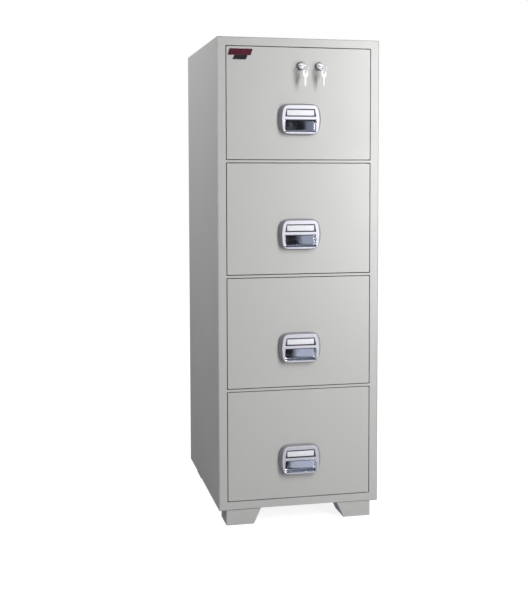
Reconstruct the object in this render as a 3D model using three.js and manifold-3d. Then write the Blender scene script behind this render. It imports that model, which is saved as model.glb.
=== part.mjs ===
// Fire-resistant metal filing cabinet with four drawers, as an assembly of separate named pieces.
// Millimetres, +Z up. The front faces -Y. The origin is the middle of the whole footprint, on the floor.
//
// The design frame has x = 0 on the centre line, y = 0 on the front face and z = 0 on the floor.
// Each drawer's own frame has the same x and y, and z = 0 on the lower edge of its opening.
import * as THREE from "three";
import { mergeVertices } from "three/addons/utils/BufferGeometryUtils.js";
import Module from "manifold-3d";

const wasm = await Module();
wasm.setup();

// ---------------------------------------------------------------- driving dimensions

// Carcass
const cabinetWidth = 505;
const cabinetDepth = 640;
const bodyHeight = 1440;
const footHeight = 48;
const drawerCount = 4;
const fitClearance = 0.3; // between pieces that touch face to face
const overcut = 1; // how far a cutting solid runs past the face that it opens
const shellSheet = 1.2;
const shellLip = 40; // turned under each side of the body
const backSheet = 1.2;
const baseSheet = 2;

// Front frame
const frameSheet = 1.5;
const frameReturnDepth = 28;
const stileWidth = 26;
const railHeight = 25.5; // top and bottom rails
const dividerHeight = 7;

// Insulated compartments behind the frame
const sideWall = 48; // from the outer face to the compartment's inner face
const backWall = 50;
const ledgeHeight = 26; // step from the opening in to the compartment, above and below
const linerSheet = 1;

// Drawer head: a painted front pan over an insulating slab, with a plug that enters the compartment
const drawerGap = 2.5; // shut line round each drawer front
const panSheet = 1.5;
const innerPanSheet = 1.2;
const headFlangeDepth = 26; // front face to the rear of the head's flange
const headDepth = 64; // front face to the rear of the plug
const plugClearance = 3;

// Drawer box
const boxSheet = 1;
const boxFloorClearance = 10;
const boxHeadroom = 40; // from the box's rim to the compartment's top
const boxRearClearance = 20;
const boxRim = 8; // turned outward along both sides, for hanging files

// Telescopic slides
const slideThickness = 12.7;
const slideSheet = 1.2;
const slideLength = 480;
const slideHeadClearance = 4;
const slideCentreHeight = 55; // above the compartment's floor
const cabinetMember = { wallSide: 0, boxSide: 10, halfHeight: 22.5 };
const middleMember = { wallSide: 2.9, boxSide: 9.6, halfHeight: 19 };
const boxMember = { wallSide: 5.4, halfHeight: 14.8 };

// Feet: folded steel, open at the back
const footSheet = 2;
const footTopWidth = 108;
const footBottomWidth = 86;
const footDepth = 96;
const footSideInset = 23;
const footFrontInset = 3;

// Handle: die-cast bezel with a label recess above a pressed finger cup
const handleBelowCentre = 48; // from the drawer's centre down to the handle's
const bezelProud = 19;
const bezelFaceWall = 5;
const bezelSideWall = 3;
const bezelBase = { topHalf: 59, middleHalf: 67, bottomHalf: 55, halfHeight: 48, corner: 17 };
const bezelFace = { topHalf: 49, middleHalf: 58.5, bottomHalf: 50.5, halfHeight: 43.5, corner: 13 };
const labelRecess = { topHalf: 44.3, bottomHalf: 48.7, low: 8, high: 32, depth: 3 };
const cupHalfWidth = 48.8;
const cupHeight = 36; // of its mouth
const cupTop = -1; // upper edge of its mouth, from the handle's centre
const cupSheet = 1.2;
const cupBehindPanel = 10;
const fingerRise = 12; // finger room behind the bar, above the mouth
const cupBend = 5;
const cutoutClearance = 2;

// Locks, in the top drawer
const lockOffsets = [5.5, 62.5]; // from the centre line
const armDepths = [15.3, 19.2]; // front face to each lock's arm, so that one arm passes behind the other
const lockBelowOpening = 57.5; // from the opening's top edge down to each lock
const barrelProud = 9;
const barrelFlangeRadius = 12.5;
const barrelBodyRadius = 9.5;
const barrelBodyDepth = 12;
const barrelRim = 2;
const plugRadius = 6.5;
const plugRecess = 0.8;
const armThickness = 2.5;
const armHalfWidth = 6;
const armReach = 67; // from the lock's centre to the arm's tip
const armPocketMargin = 3;
const armSlotMargin = 1.2; // in front of and behind each arm

// Keys and their rings
const keyThickness = 2;
const keyBow = { halfWidth: 10.5, length: 22, corner: 8 };
const keyNeck = 2;
const keyBladeHalfWidth = 3.6;
const keyBladeLength = 24;
const keyBitDepth = 1.4;
const keyBitCount = 3;
const keyHoleRadius = 3.5;
const keyHoleFromEnd = 5.9;
const ringRadius = 10.5;
const ringWire = 0.7;
const ringHalfChord = 6.9; // half of the ring's span across the bow's web
const ringYaw = THREE.MathUtils.degToRad(50);
const spareKeyYaw = THREE.MathUtils.degToRad(24);

// Badge at the top left of the top drawer: a wide bar over a shorter one
const badgeWidth = 76;
const badgeHeight = 32;
const badgeThickness = 1.4;
const badgeCorner = 3;
const badgeShoulder = 12.8;
const badgeLowerInset = 15;
const badgeSideMargin = 4;
const badgeTopMargin = 7;

// ---------------------------------------------------------------- derived dimensions

const halfWidth = cabinetWidth / 2;
const bodyTop = footHeight + bodyHeight;
const dividersHeight = (drawerCount - 1) * dividerHeight;
const openingHeight = (bodyHeight - 2 * railHeight - dividersHeight) / drawerCount;
const openingHalfWidth = halfWidth - stileWidth;
const openingPitch = openingHeight + dividerHeight;
const insideHalfWidth = halfWidth - shellSheet - fitClearance;
const insideBottom = footHeight + shellSheet + fitClearance;
const insideTop = bodyTop - shellSheet - fitClearance;

const compartmentHalfWidth = halfWidth - sideWall;
const compartmentBack = cabinetDepth - backWall;
const compartmentTop = openingHeight - ledgeHeight;
const linerFront = frameReturnDepth + fitClearance;
const linerFlangeBack = linerFront + linerSheet;

const frontHalfWidth = openingHalfWidth - drawerGap;
const frontBottom = drawerGap;
const frontTop = openingHeight - drawerGap;
const plugHalfWidth = compartmentHalfWidth - plugClearance;
const plugBottom = ledgeHeight + plugClearance;
const plugTop = compartmentTop - plugClearance;
const headFlangeFront = headFlangeDepth - innerPanSheet;
const panReturnBack = headFlangeFront - fitClearance;

const boxHalfWidth = compartmentHalfWidth - slideThickness - fitClearance;
const boxBottom = ledgeHeight + boxFloorClearance;
const boxTop = compartmentTop - boxHeadroom;
const boxBack = compartmentBack - boxRearClearance;
const slideFront = headDepth + slideHeadClearance;
const slideBack = slideFront + slideLength;
const slideCentre = ledgeHeight + slideCentreHeight;

const handleCentre = openingHeight / 2 - handleBelowCentre;
const lockCentre = openingHeight - lockBelowOpening;
const keyTip = keyBladeLength - barrelProud;
const ringHole = -barrelProud - keyNeck - keyBow.length + keyHoleFromEnd;

// Drawer 1 is the top one.
function openingBottom(index) {
  return footHeight + railHeight + (drawerCount - 1 - index) * openingPitch;
}

// ---------------------------------------------------------------- finishes

function finish(color, roughness, metalness) {
  return new THREE.MeshStandardMaterial({ color, roughness, metalness });
}

const paint = finish(0xc9c8c5, 0.42, 0);
const linerPaint = finish(0xb9b8b4, 0.5, 0);
const zincPlate = finish(0xa9abad, 0.4, 1);
const satinAlloy = finish(0xc8c9d2, 0.35, 0.9);
const chrome = finish(0xd8d9dc, 0.08, 1);
const nickel = finish(0xd2d0c8, 0.18, 1);
const mineralFill = finish(0xd9d4c6, 0.95, 0);
const badgeEnamel = finish(0x5a1a26, 0.3, 0);

// ---------------------------------------------------------------- solids

// A closed geometry as a solid that can be joined and cut.
function solidOf(geometry) {
  const bare = new THREE.BufferGeometry();
  const flat = geometry.index ? geometry.toNonIndexed() : geometry;
  bare.setAttribute("position", flat.getAttribute("position"));
  const merged = mergeVertices(bare, 1e-4);
  const vertProperties = merged.attributes.position.array;
  const triVerts = new Uint32Array(merged.index.array);
  return new wasm.Manifold(new wasm.Mesh({ numProp: 3, vertProperties, triVerts }));
}

function geometryOf(solid) {
  const mesh = solid.getMesh();
  const geometry = new THREE.BufferGeometry();
  geometry.setAttribute("position", new THREE.BufferAttribute(mesh.vertProperties, 3));
  geometry.setIndex(new THREE.BufferAttribute(mesh.triVerts, 1));
  const faceted = geometry.toNonIndexed();
  faceted.computeVertexNormals();
  return faceted;
}

function join(...solids) {
  return solids.reduce((whole, next) => whole.add(next));
}

function cut(solid, ...tools) {
  return tools.reduce((rest, tool) => rest.subtract(tool), solid);
}

// A box between two values on each axis.
function block([left, right], [front, back], [bottom, top]) {
  const geometry = new THREE.BoxGeometry(right - left, back - front, top - bottom);
  geometry.translate((left + right) / 2, (front + back) / 2, (bottom + top) / 2);
  return solidOf(geometry);
}

// A box centred on x = 0.
function centredBlock(half, depth, height) {
  return block([-half, half], depth, height);
}

// An outline in x and z, given depth from front to back.
function extrudeBack(outline, [front, back], curveSegments = 6) {
  const options = { depth: back - front, bevelEnabled: false, curveSegments };
  const geometry = new THREE.ExtrudeGeometry(outline, options);
  geometry.rotateX(Math.PI / 2);
  geometry.translate(0, back, 0);
  return solidOf(geometry);
}

// An outline in y and z, given width about x = 0.
function extrudeAcross(outline, half, curveSegments = 6) {
  const options = { depth: 2 * half, bevelEnabled: false, curveSegments };
  const geometry = new THREE.ExtrudeGeometry(outline, options);
  geometry.translate(0, 0, -half);
  const axes = [new THREE.Vector3(0, 1, 0), new THREE.Vector3(0, 0, 1), new THREE.Vector3(1, 0, 0)];
  geometry.applyMatrix4(new THREE.Matrix4().makeBasis(...axes));
  return solidOf(geometry);
}

// A profile of [radius, y] points turned about the y axis through the origin.
function turned(profile, segments = 32) {
  const points = profile.map(([radius, y]) => new THREE.Vector2(radius, y));
  return solidOf(new THREE.LatheGeometry(points, segments));
}

function polygon(points) {
  return new THREE.Shape(points.map(([x, z]) => new THREE.Vector2(x, z)));
}

function addPiece(group, name, solid, material) {
  const mesh = new THREE.Mesh(geometryOf(solid), material);
  mesh.name = name;
  group.add(mesh);
}

// ---------------------------------------------------------------- carcass

// Both sides and the top in one wrap, with a lip turned under each side.
function outerShell() {
  const depth = [0, cabinetDepth];
  const wrap = centredBlock(halfWidth, depth, [footHeight, bodyTop]);
  const through = [-overcut, cabinetDepth + overcut];
  const hollow = centredBlock(
    halfWidth - shellSheet, through, [footHeight + shellSheet, bodyTop - shellSheet]);
  const underside = centredBlock(
    halfWidth - shellLip, through, [footHeight - overcut, footHeight + shellSheet + overcut]);
  return cut(wrap, hollow, underside);
}

function backPanel() {
  const depth = [cabinetDepth - backSheet, cabinetDepth];
  return centredBlock(insideHalfWidth, depth, [insideBottom, insideTop]);
}

function basePanel() {
  const depth = [frameSheet + fitClearance, cabinetDepth - backSheet - fitClearance];
  return centredBlock(insideHalfWidth, depth, [insideBottom, insideBottom + baseSheet]);
}

function opening(index, grow, depth) {
  const bottom = openingBottom(index);
  return centredBlock(openingHalfWidth + grow, depth, [bottom - grow, bottom + openingHeight + grow]);
}

// The quarter turn that a lock's arm sweeps, from level to upright, as a block in the top drawer's frame.
function armSweep(lock, top) {
  const centre = lockOffsets[lock];
  const reach = armReach + armPocketMargin;
  const side = armHalfWidth + armPocketMargin;
  const depth = [armDepths[lock] - armSlotMargin, armDepths[lock] + armThickness + armSlotMargin];
  return block([centre - reach, centre + side], depth, [lockCentre - side, top]);
}

// The keeper slot above each lock, where the raised arm stands behind the top rail.
function keeperSlot(lock) {
  const slot = armSweep(lock, lockCentre + armReach + armPocketMargin);
  return slot.translate([0, 0, openingBottom(0)]);
}

function frontFrame() {
  let frame = centredBlock(insideHalfWidth, [0, frameSheet], [insideBottom, insideTop]);
  for (let index = 0; index < drawerCount; index++) {
    frame = join(frame, opening(index, frameSheet, [0, frameReturnDepth]));
  }
  for (let index = 0; index < drawerCount; index++) {
    frame = cut(frame, opening(index, 0, [-overcut, frameReturnDepth + overcut]));
  }
  return cut(frame, ...lockOffsets.map((_, lock) => keeperSlot(lock)));
}

function compartment(index, grow, depth) {
  const bottom = openingBottom(index);
  const height = [bottom + ledgeHeight - grow, bottom + compartmentTop + grow];
  return centredBlock(compartmentHalfWidth + grow, depth, height);
}

// Fire-resistant fill cast between the shell, the frame and the four liners.
function insulationCore() {
  const front = frameSheet + fitClearance;
  const back = cabinetDepth - backSheet - fitClearance;
  const bottom = insideBottom + baseSheet + fitClearance;
  const linerBack = compartmentBack + linerSheet + fitClearance;
  let core = centredBlock(insideHalfWidth, [front, back], [bottom, insideTop]);
  for (let index = 0; index < drawerCount; index++) {
    const mouth = opening(index, frameSheet + fitClearance, [-overcut, linerFlangeBack + fitClearance]);
    core = cut(core, mouth, compartment(index, linerSheet + fitClearance, [-overcut, linerBack]));
  }
  return cut(core, ...lockOffsets.map((_, lock) => keeperSlot(lock)));
}

// A tub open at the front, with a flange that covers the step round its mouth.
function compartmentLiner(index) {
  const tub = compartment(index, linerSheet, [linerFront, compartmentBack + linerSheet]);
  const flange = opening(index, frameSheet, [linerFront, linerFlangeBack]);
  return cut(join(tub, flange), compartment(index, 0, [-overcut, compartmentBack]));
}

// A foot under one corner: plumb on its outer side, sloping in on its inner side.
function foot(side, nearFront) {
  const outline = (inset, low, high) => {
    const outer = halfWidth - footSideInset - inset;
    const innerLow = halfWidth - footSideInset - footBottomWidth + inset;
    const innerHigh = halfWidth - footSideInset - footTopWidth + inset;
    const corners = [[outer, low], [outer, high], [innerHigh, high], [innerLow, low]];
    return polygon(corners.map(([x, z]) => [side * x, z]));
  };
  const front = nearFront ? footFrontInset : cabinetDepth - footFrontInset - footDepth;
  const back = front + footDepth;
  const hidden = nearFront ? [front + footSheet, back + overcut] : [front - overcut, back - footSheet];
  const top = footHeight - fitClearance;
  const body = extrudeBack(outline(0, 0, top), [front, back]);
  return cut(body, extrudeBack(outline(footSheet, footSheet, top - footSheet), hidden));
}

// ---------------------------------------------------------------- slides

// A channel whose web is on one side: x counts inward from the compartment's wall.
function channel(side, { web, tip, halfHeight }, length) {
  const towardsTip = Math.sign(tip - web);
  const inner = web + towardsTip * slideSheet;
  const x = (inward) => side * (compartmentHalfWidth - fitClearance - inward);
  const lip = halfHeight - slideSheet;
  const outline = polygon([
    [x(web), -halfHeight], [x(tip), -halfHeight], [x(tip), -lip], [x(inner), -lip],
    [x(inner), lip], [x(tip), lip], [x(tip), halfHeight], [x(web), halfHeight],
  ]);
  return extrudeBack(outline, length).translate([0, 0, slideCentre]);
}

function cabinetSlide(side) {
  const { wallSide, boxSide, halfHeight } = cabinetMember;
  return channel(side, { web: wallSide, tip: boxSide, halfHeight }, [slideFront, slideBack]);
}

function middleSlide(side) {
  const { wallSide, boxSide, halfHeight } = middleMember;
  return channel(side, { web: wallSide, tip: boxSide, halfHeight }, [slideFront, slideBack]);
}

function boxSlide(side) {
  const { wallSide, halfHeight } = boxMember;
  return channel(side, { web: slideThickness, tip: wallSide, halfHeight }, [slideFront, slideBack]);
}

// ---------------------------------------------------------------- drawers

// The painted front: a pan whose returns reach back to the head's flange.
function drawerFront(index) {
  const pan = centredBlock(frontHalfWidth, [0, panReturnBack], [frontBottom, frontTop]);
  const hollow = centredBlock(
    frontHalfWidth - panSheet,
    [panSheet, panReturnBack + overcut],
    [frontBottom + panSheet, frontTop - panSheet]);
  const sheet = cut(pan, hollow, cupPocket(panSheet + overcut));
  if (index > 0) return sheet;
  const holes = lockOffsets.map((x) => lockHole(x, barrelBodyRadius + fitClearance));
  const slots = lockOffsets.map((_, lock) => armSweep(lock, frontTop + overcut));
  return cut(sheet, ...holes, ...slots.map(aboveHollow));
}

// The part of an arm's sweep that lies in the pan's top return.
function aboveHollow(sweep) {
  const returnHeight = [frontTop - panSheet - overcut, frontTop + overcut];
  return sweep.intersect(centredBlock(frontHalfWidth, [panSheet + fitClearance, headDepth], returnHeight));
}

function lockHole(x, radius) {
  const [near, far] = [-overcut, headFlangeFront];
  const bore = turned([[0, near], [radius, near], [radius, far], [0, far]]);
  return bore.translate([x, 0, lockCentre]);
}

// Room for the finger cup behind the face, from just in front of the face to a depth.
function cupPocket(depth) {
  const margin = cupSheet + cutoutClearance;
  const bottom = handleCentre + cupTop - cupHeight - margin;
  const top = handleCentre + cupTop + fingerRise + margin;
  return centredBlock(cupHalfWidth + margin, [-overcut, depth], [bottom, top]);
}

// Insulating slab between the front pan and the inner pan.
function headInsulation(index) {
  const inset = panSheet + fitClearance;
  const plugInset = innerPanSheet + fitClearance;
  const slab = centredBlock(
    frontHalfWidth - inset, [inset, panReturnBack], [frontBottom + inset, frontTop - inset]);
  const plug = centredBlock(
    plugHalfWidth - plugInset, [inset, headDepth - plugInset],
    [plugBottom + plugInset, plugTop - plugInset]);
  const slabWithCup = cut(join(slab, plug), cupPocket(cupBehindPanel + cutoutClearance));
  if (index > 0) return slabWithCup;
  const barrels = lockOffsets.map((x) => lockHole(x, barrelBodyRadius + cutoutClearance));
  const sweeps = lockOffsets.map((_, lock) => armSweep(lock, openingHeight));
  return cut(slabWithCup, ...barrels, ...sweeps);
}

// The inner pan: a flange behind the front pan, and the plug that enters the compartment.
function innerPan() {
  const flange = centredBlock(frontHalfWidth, [headFlangeFront, headFlangeDepth], [frontBottom, frontTop]);
  const plug = centredBlock(plugHalfWidth, [headFlangeFront, headDepth], [plugBottom, plugTop]);
  const hollow = centredBlock(
    plugHalfWidth - innerPanSheet,
    [-overcut, headDepth - innerPanSheet],
    [plugBottom + innerPanSheet, plugTop - innerPanSheet]);
  return cut(join(flange, plug), hollow);
}

// The welded drawer box: tub, outward rims, inner pan and the slides' drawer members.
function drawerBox() {
  const front = headDepth - innerPanSheet;
  const tub = centredBlock(boxHalfWidth, [front, boxBack], [boxBottom, boxTop]);
  const hollow = centredBlock(
    boxHalfWidth - boxSheet, [headDepth, boxBack - boxSheet], [boxBottom + boxSheet, boxTop + overcut]);
  const rim = centredBlock(boxHalfWidth + boxRim, [front, boxBack], [boxTop - boxSheet, boxTop]);
  const sides = [-1, 1].map(boxSlide);
  return join(cut(join(tub, rim), hollow), innerPan(), ...sides);
}

// ---------------------------------------------------------------- handle

// A five-sided outline with bulging sides, symmetrical about x = 0.
function bezelOutline({ topHalf, middleHalf, bottomHalf, halfHeight, corner }) {
  const shoulder = halfHeight - corner;
  const outline = new THREE.Shape();
  outline.moveTo(corner - bottomHalf, -halfHeight);
  outline.lineTo(bottomHalf - corner, -halfHeight);
  outline.quadraticCurveTo(bottomHalf, -halfHeight, (bottomHalf + middleHalf) / 2, -shoulder);
  outline.quadraticCurveTo(middleHalf + corner / 4, 0, (topHalf + middleHalf) / 2, shoulder);
  outline.quadraticCurveTo(topHalf, halfHeight, topHalf - corner, halfHeight);
  outline.lineTo(corner - topHalf, halfHeight);
  outline.quadraticCurveTo(-topHalf, halfHeight, -(topHalf + middleHalf) / 2, shoulder);
  outline.quadraticCurveTo(-middleHalf - corner / 4, 0, -(bottomHalf + middleHalf) / 2, -shoulder);
  outline.quadraticCurveTo(-bottomHalf, -halfHeight, corner - bottomHalf, -halfHeight);
  return outline.getPoints(4).slice(0, -1);
}

// A closed skin through rings of points, each { points, y }, from the back to the front.
function loft(rings) {
  const count = rings[0].points.length;
  const positions = rings.flatMap(({ points, y }) => points.flatMap((point) => [point.x, y, point.y]));
  const faces = [];
  for (let ring = 0; ring < rings.length - 1; ring++) {
    for (let step = 0; step < count; step++) {
      const next = (step + 1) % count;
      const [a, b] = [ring * count + step, ring * count + next];
      faces.push(a, b, b + count, a, b + count, a + count);
    }
  }
  const cap = THREE.ShapeUtils.triangulateShape(rings[0].points, []);
  const lastRing = (rings.length - 1) * count;
  cap.forEach(([a, b, c]) => faces.push(a, c, b, a + lastRing, b + lastRing, c + lastRing));
  const geometry = new THREE.BufferGeometry();
  geometry.setAttribute("position", new THREE.Float32BufferAttribute(positions, 3));
  geometry.setIndex(faces);
  return solidOf(geometry);
}

// Rings that swell from the base outline to the face outline, both shrunk by an inset.
function bezelRings(inset, back, front) {
  const shrink = (size) => ({
    ...size,
    topHalf: size.topHalf - inset,
    middleHalf: size.middleHalf - inset,
    bottomHalf: size.bottomHalf - inset,
    halfHeight: size.halfHeight - inset,
    corner: size.corner - inset / 2,
  });
  const base = bezelOutline(shrink(bezelBase));
  const face = bezelOutline(shrink(bezelFace));
  const ringCount = 4;
  return Array.from({ length: ringCount + 1 }, (_, step) => {
    const rise = step / ringCount;
    const flare = 1 - Math.cos((rise * Math.PI) / 2);
    const points = base.map((point, index) => point.clone().lerp(face[index], flare));
    return { points, y: back + (front - back) * rise };
  });
}

function labelOutline({ topHalf, bottomHalf, low, high }) {
  return polygon([[-bottomHalf, low], [bottomHalf, low], [topHalf, high], [-topHalf, high]]);
}

// Die-cast bezel, hollow behind, with the label recess and the cup's mouth cut in its face.
function handleBezel() {
  const back = -fitClearance;
  const outside = loft(bezelRings(0, back, -bezelProud));
  const inside = loft(bezelRings(bezelSideWall, overcut, bezelFaceWall - bezelProud));
  const front = -bezelProud - overcut;
  const recess = extrudeBack(labelOutline(labelRecess), [front, labelRecess.depth - bezelProud]);
  const reveal = cupSheet + fitClearance;
  const mouth = centredBlock(
    cupHalfWidth + reveal, [front, overcut], [cupTop - cupHeight - reveal, cupTop + reveal]);
  return cut(outside, inside, recess, mouth).translate([0, 0, handleCentre]);
}

// The cup's section in y and z: a scoop from the lower lip up to the finger room behind the bar.
function cupSection(grow, front) {
  const barBack = bezelFaceWall - bezelProud + fitClearance + cupSheet - grow;
  const back = cupBehindPanel - cupSheet + grow;
  const lip = cupTop - cupHeight - grow;
  const mouthTop = cupTop + grow;
  const top = cupTop + fingerRise + grow;
  const bend = cupBend + grow;
  const section = new THREE.Shape();
  section.moveTo(front, lip);
  section.lineTo(barBack, lip);
  section.quadraticCurveTo(back, lip, back, cupTop - cupHeight / 3);
  section.lineTo(back, top - bend);
  section.quadraticCurveTo(back, top, back - bend, top);
  section.lineTo(barBack, top);
  section.lineTo(barBack, mouthTop);
  section.lineTo(front, mouthTop);
  return section;
}

function handleCup() {
  const outside = extrudeAcross(cupSection(cupSheet, fitClearance - bezelProud), cupHalfWidth + cupSheet);
  const inside = extrudeAcross(cupSection(0, -bezelProud - overcut), cupHalfWidth);
  return cut(outside, inside).translate([0, 0, handleCentre]);
}

// ---------------------------------------------------------------- locks and keys

function atLock(solid, lock) {
  return solid.translate([lockOffsets[lock], 0, lockCentre]);
}

// A flanged barrel with a dished face, bored for its plug.
function lockBarrel() {
  const bore = plugRadius + fitClearance;
  const faceBack = barrelRim / 2 - barrelProud;
  return turned([
    [bore, barrelBodyDepth], [bore, faceBack],
    [barrelFlangeRadius - barrelRim, faceBack], [barrelFlangeRadius - barrelRim / 2, -barrelProud],
    [barrelFlangeRadius, barrelRim - barrelProud], [barrelFlangeRadius, -fitClearance],
    [barrelBodyRadius, -fitClearance], [barrelBodyRadius, barrelBodyDepth], [bore, barrelBodyDepth],
  ]);
}

// The turning plug, with its keyway in front and the locking arm on its tail.
function lockPlug(lock) {
  const face = plugRecess - barrelProud;
  const tail = armDepths[lock] + armThickness;
  const body = turned([[0, face], [plugRadius, face], [plugRadius, tail], [0, tail]], 24);
  const arm = block([-armReach, 0], [armDepths[lock], tail], [-armHalfWidth, armHalfWidth]);
  const slotHalfWidth = keyBladeHalfWidth + fitClearance;
  const slotHalfHeight = keyThickness / 2 + fitClearance;
  const keyway = centredBlock(
    slotHalfWidth, [face - overcut, keyTip + fitClearance], [-slotHalfHeight, slotHalfHeight]);
  return cut(join(body, arm), keyway);
}

// A flat key in x and y: the bow towards -y, its holed end outermost, and the blade towards +y.
function keyOutline() {
  const { halfWidth: wide, length, corner } = keyBow;
  const narrow = keyBladeHalfWidth;
  const bitPitch = (keyBladeLength - keyNeck) / (keyBitCount + 1);
  const outline = new THREE.Shape();
  outline.moveTo(corner - wide, -length);
  outline.lineTo(wide - corner, -length);
  outline.quadraticCurveTo(wide, -length, wide, corner - length);
  outline.quadraticCurveTo(wide, -corner / 2, narrow, 0);
  for (let bit = 1; bit <= keyBitCount; bit++) {
    const y = keyNeck + bit * bitPitch;
    outline.lineTo(narrow, y - bitPitch / 3);
    outline.lineTo(narrow - keyBitDepth, y);
    outline.lineTo(narrow, y + bitPitch / 3);
  }
  outline.lineTo(0, keyNeck + keyBladeLength);
  outline.lineTo(-narrow, keyNeck + keyBladeLength - narrow);
  outline.lineTo(-narrow, 0);
  outline.quadraticCurveTo(-wide, -corner / 2, -wide, corner - length);
  outline.quadraticCurveTo(-wide, -length, corner - wide, -length);
  const hole = new THREE.Path();
  hole.absarc(0, keyHoleFromEnd - length, keyHoleRadius, 0, 2 * Math.PI, true);
  outline.holes.push(hole);
  return outline;
}

function flatKey() {
  const options = { depth: keyThickness, bevelEnabled: false, curveSegments: 8 };
  const geometry = new THREE.ExtrudeGeometry(keyOutline(), options);
  geometry.translate(0, 0, -keyThickness / 2);
  return geometry;
}

// The key in its lock, lying level.
function lockKey() {
  const key = flatKey();
  key.translate(0, -barrelProud - keyNeck, 0);
  return solidOf(key);
}

// The ring's centre, from the lock's centre: the wire runs through the bow's hole and round its end.
function ringCentre() {
  const across = ringHalfChord * Math.sin(ringYaw);
  const out = ringHalfChord * Math.cos(ringYaw);
  const drop = Math.sqrt(ringRadius ** 2 - ringHalfChord ** 2);
  return new THREE.Vector3(across, ringHole - out, -drop);
}

function keyRing() {
  const ring = new THREE.TorusGeometry(ringRadius, ringWire, 8, 28);
  ring.rotateY(Math.PI / 2);
  ring.rotateZ(ringYaw);
  ring.translate(...ringCentre());
  return solidOf(ring);
}

// The second key, hanging with the wire just under the top of its hole.
function spareKey() {
  const key = flatKey();
  const holeDrop = keyHoleRadius - ringWire - fitClearance;
  const { x, y, z } = ringCentre();
  key.translate(0, keyBow.length - keyHoleFromEnd, 0);
  key.rotateX(-Math.PI / 2);
  key.rotateZ(spareKeyYaw);
  key.translate(x, y, z - ringRadius - holeDrop);
  return solidOf(key);
}

function badgeBar(inset, low, high) {
  const left = badgeSideMargin + inset + badgeCorner - frontHalfWidth;
  const right = badgeSideMargin + badgeWidth - inset - badgeCorner - frontHalfWidth;
  const outline = new THREE.Shape();
  outline.absarc(right, high - badgeCorner, badgeCorner, 0, Math.PI / 2);
  outline.absarc(left, high - badgeCorner, badgeCorner, Math.PI / 2, Math.PI);
  outline.absarc(left, low + badgeCorner, badgeCorner, Math.PI, 1.5 * Math.PI);
  outline.absarc(right, low + badgeCorner, badgeCorner, 1.5 * Math.PI, 2 * Math.PI);
  return extrudeBack(outline, [-badgeThickness - fitClearance, -fitClearance]);
}

function badgePlate() {
  const bottom = frontTop - badgeTopMargin - badgeHeight;
  const shoulder = bottom + badgeShoulder;
  const wideBar = badgeBar(0, shoulder, bottom + badgeHeight);
  const shortBar = badgeBar(badgeLowerInset, bottom, shoulder + 2 * badgeCorner);
  return join(wideBar, shortBar);
}

// ---------------------------------------------------------------- assembly

function addCarcass(group) {
  addPiece(group, "outer_shell", outerShell(), paint);
  addPiece(group, "back_panel", backPanel(), paint);
  addPiece(group, "base_panel", basePanel(), paint);
  addPiece(group, "front_frame", frontFrame(), paint);
  addPiece(group, "insulation_core", insulationCore(), mineralFill);
  for (let index = 0; index < drawerCount; index++) {
    addPiece(group, `compartment_liner_${index + 1}`, compartmentLiner(index), linerPaint);
  }
  for (const [sideName, side] of [["left", -1], ["right", 1]]) {
    addPiece(group, `foot_front_${sideName}`, foot(side, true), paint);
    addPiece(group, `foot_back_${sideName}`, foot(side, false), paint);
  }
}

function addDrawer(group, index) {
  const number = index + 1;
  for (const [sideName, side] of [["left", -1], ["right", 1]]) {
    addPiece(group, `cabinet_slide_${number}_${sideName}`, cabinetSlide(side), zincPlate);
    addPiece(group, `middle_slide_${number}_${sideName}`, middleSlide(side), zincPlate);
  }
  addPiece(group, `drawer_front_${number}`, drawerFront(index), paint);
  addPiece(group, `head_insulation_${number}`, headInsulation(index), mineralFill);
  addPiece(group, `drawer_box_${number}`, drawerBox(), linerPaint);
  addPiece(group, `handle_bezel_${number}`, handleBezel(), satinAlloy);
  addPiece(group, `handle_cup_${number}`, handleCup(), chrome);
}

function addLock(group, lock) {
  const number = lock + 1;
  addPiece(group, `lock_barrel_${number}`, atLock(lockBarrel(), lock), chrome);
  addPiece(group, `lock_plug_${number}`, atLock(lockPlug(lock), lock), nickel);
  addPiece(group, `lock_key_${number}`, atLock(lockKey(), lock), nickel);
  addPiece(group, `key_ring_${number}`, atLock(keyRing(), lock), nickel);
  addPiece(group, `spare_key_${number}`, atLock(spareKey(), lock), nickel);
}

// Moves the whole cabinet so that the middle of its footprint is the origin.
function centreOnFootprint(group) {
  const bounds = new THREE.Box3().setFromObject(group);
  group.position.y = -(bounds.min.y + bounds.max.y) / 2;
}

const cabinet = new THREE.Group();
const assembly = new THREE.Group();
cabinet.add(assembly);
addCarcass(assembly);
for (let index = 0; index < drawerCount; index++) {
  const drawer = new THREE.Group();
  drawer.position.z = openingBottom(index);
  assembly.add(drawer);
  addDrawer(drawer, index);
  if (index === 0) {
    lockOffsets.forEach((_, lock) => addLock(drawer, lock));
    addPiece(drawer, "badge_plate", badgePlate(), badgeEnamel);
  }
}
centreOnFootprint(assembly);

export default cabinet;
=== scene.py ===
import logging
import math
from collections.abc import Callable, Iterable, Sequence
from dataclasses import astuple, dataclass, field
from enum import Enum
from typing import Any

import bmesh
import bpy
from bmesh.types import BMEdge, BMesh, BMFace, BMVert
from mathutils import Matrix, Vector


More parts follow.
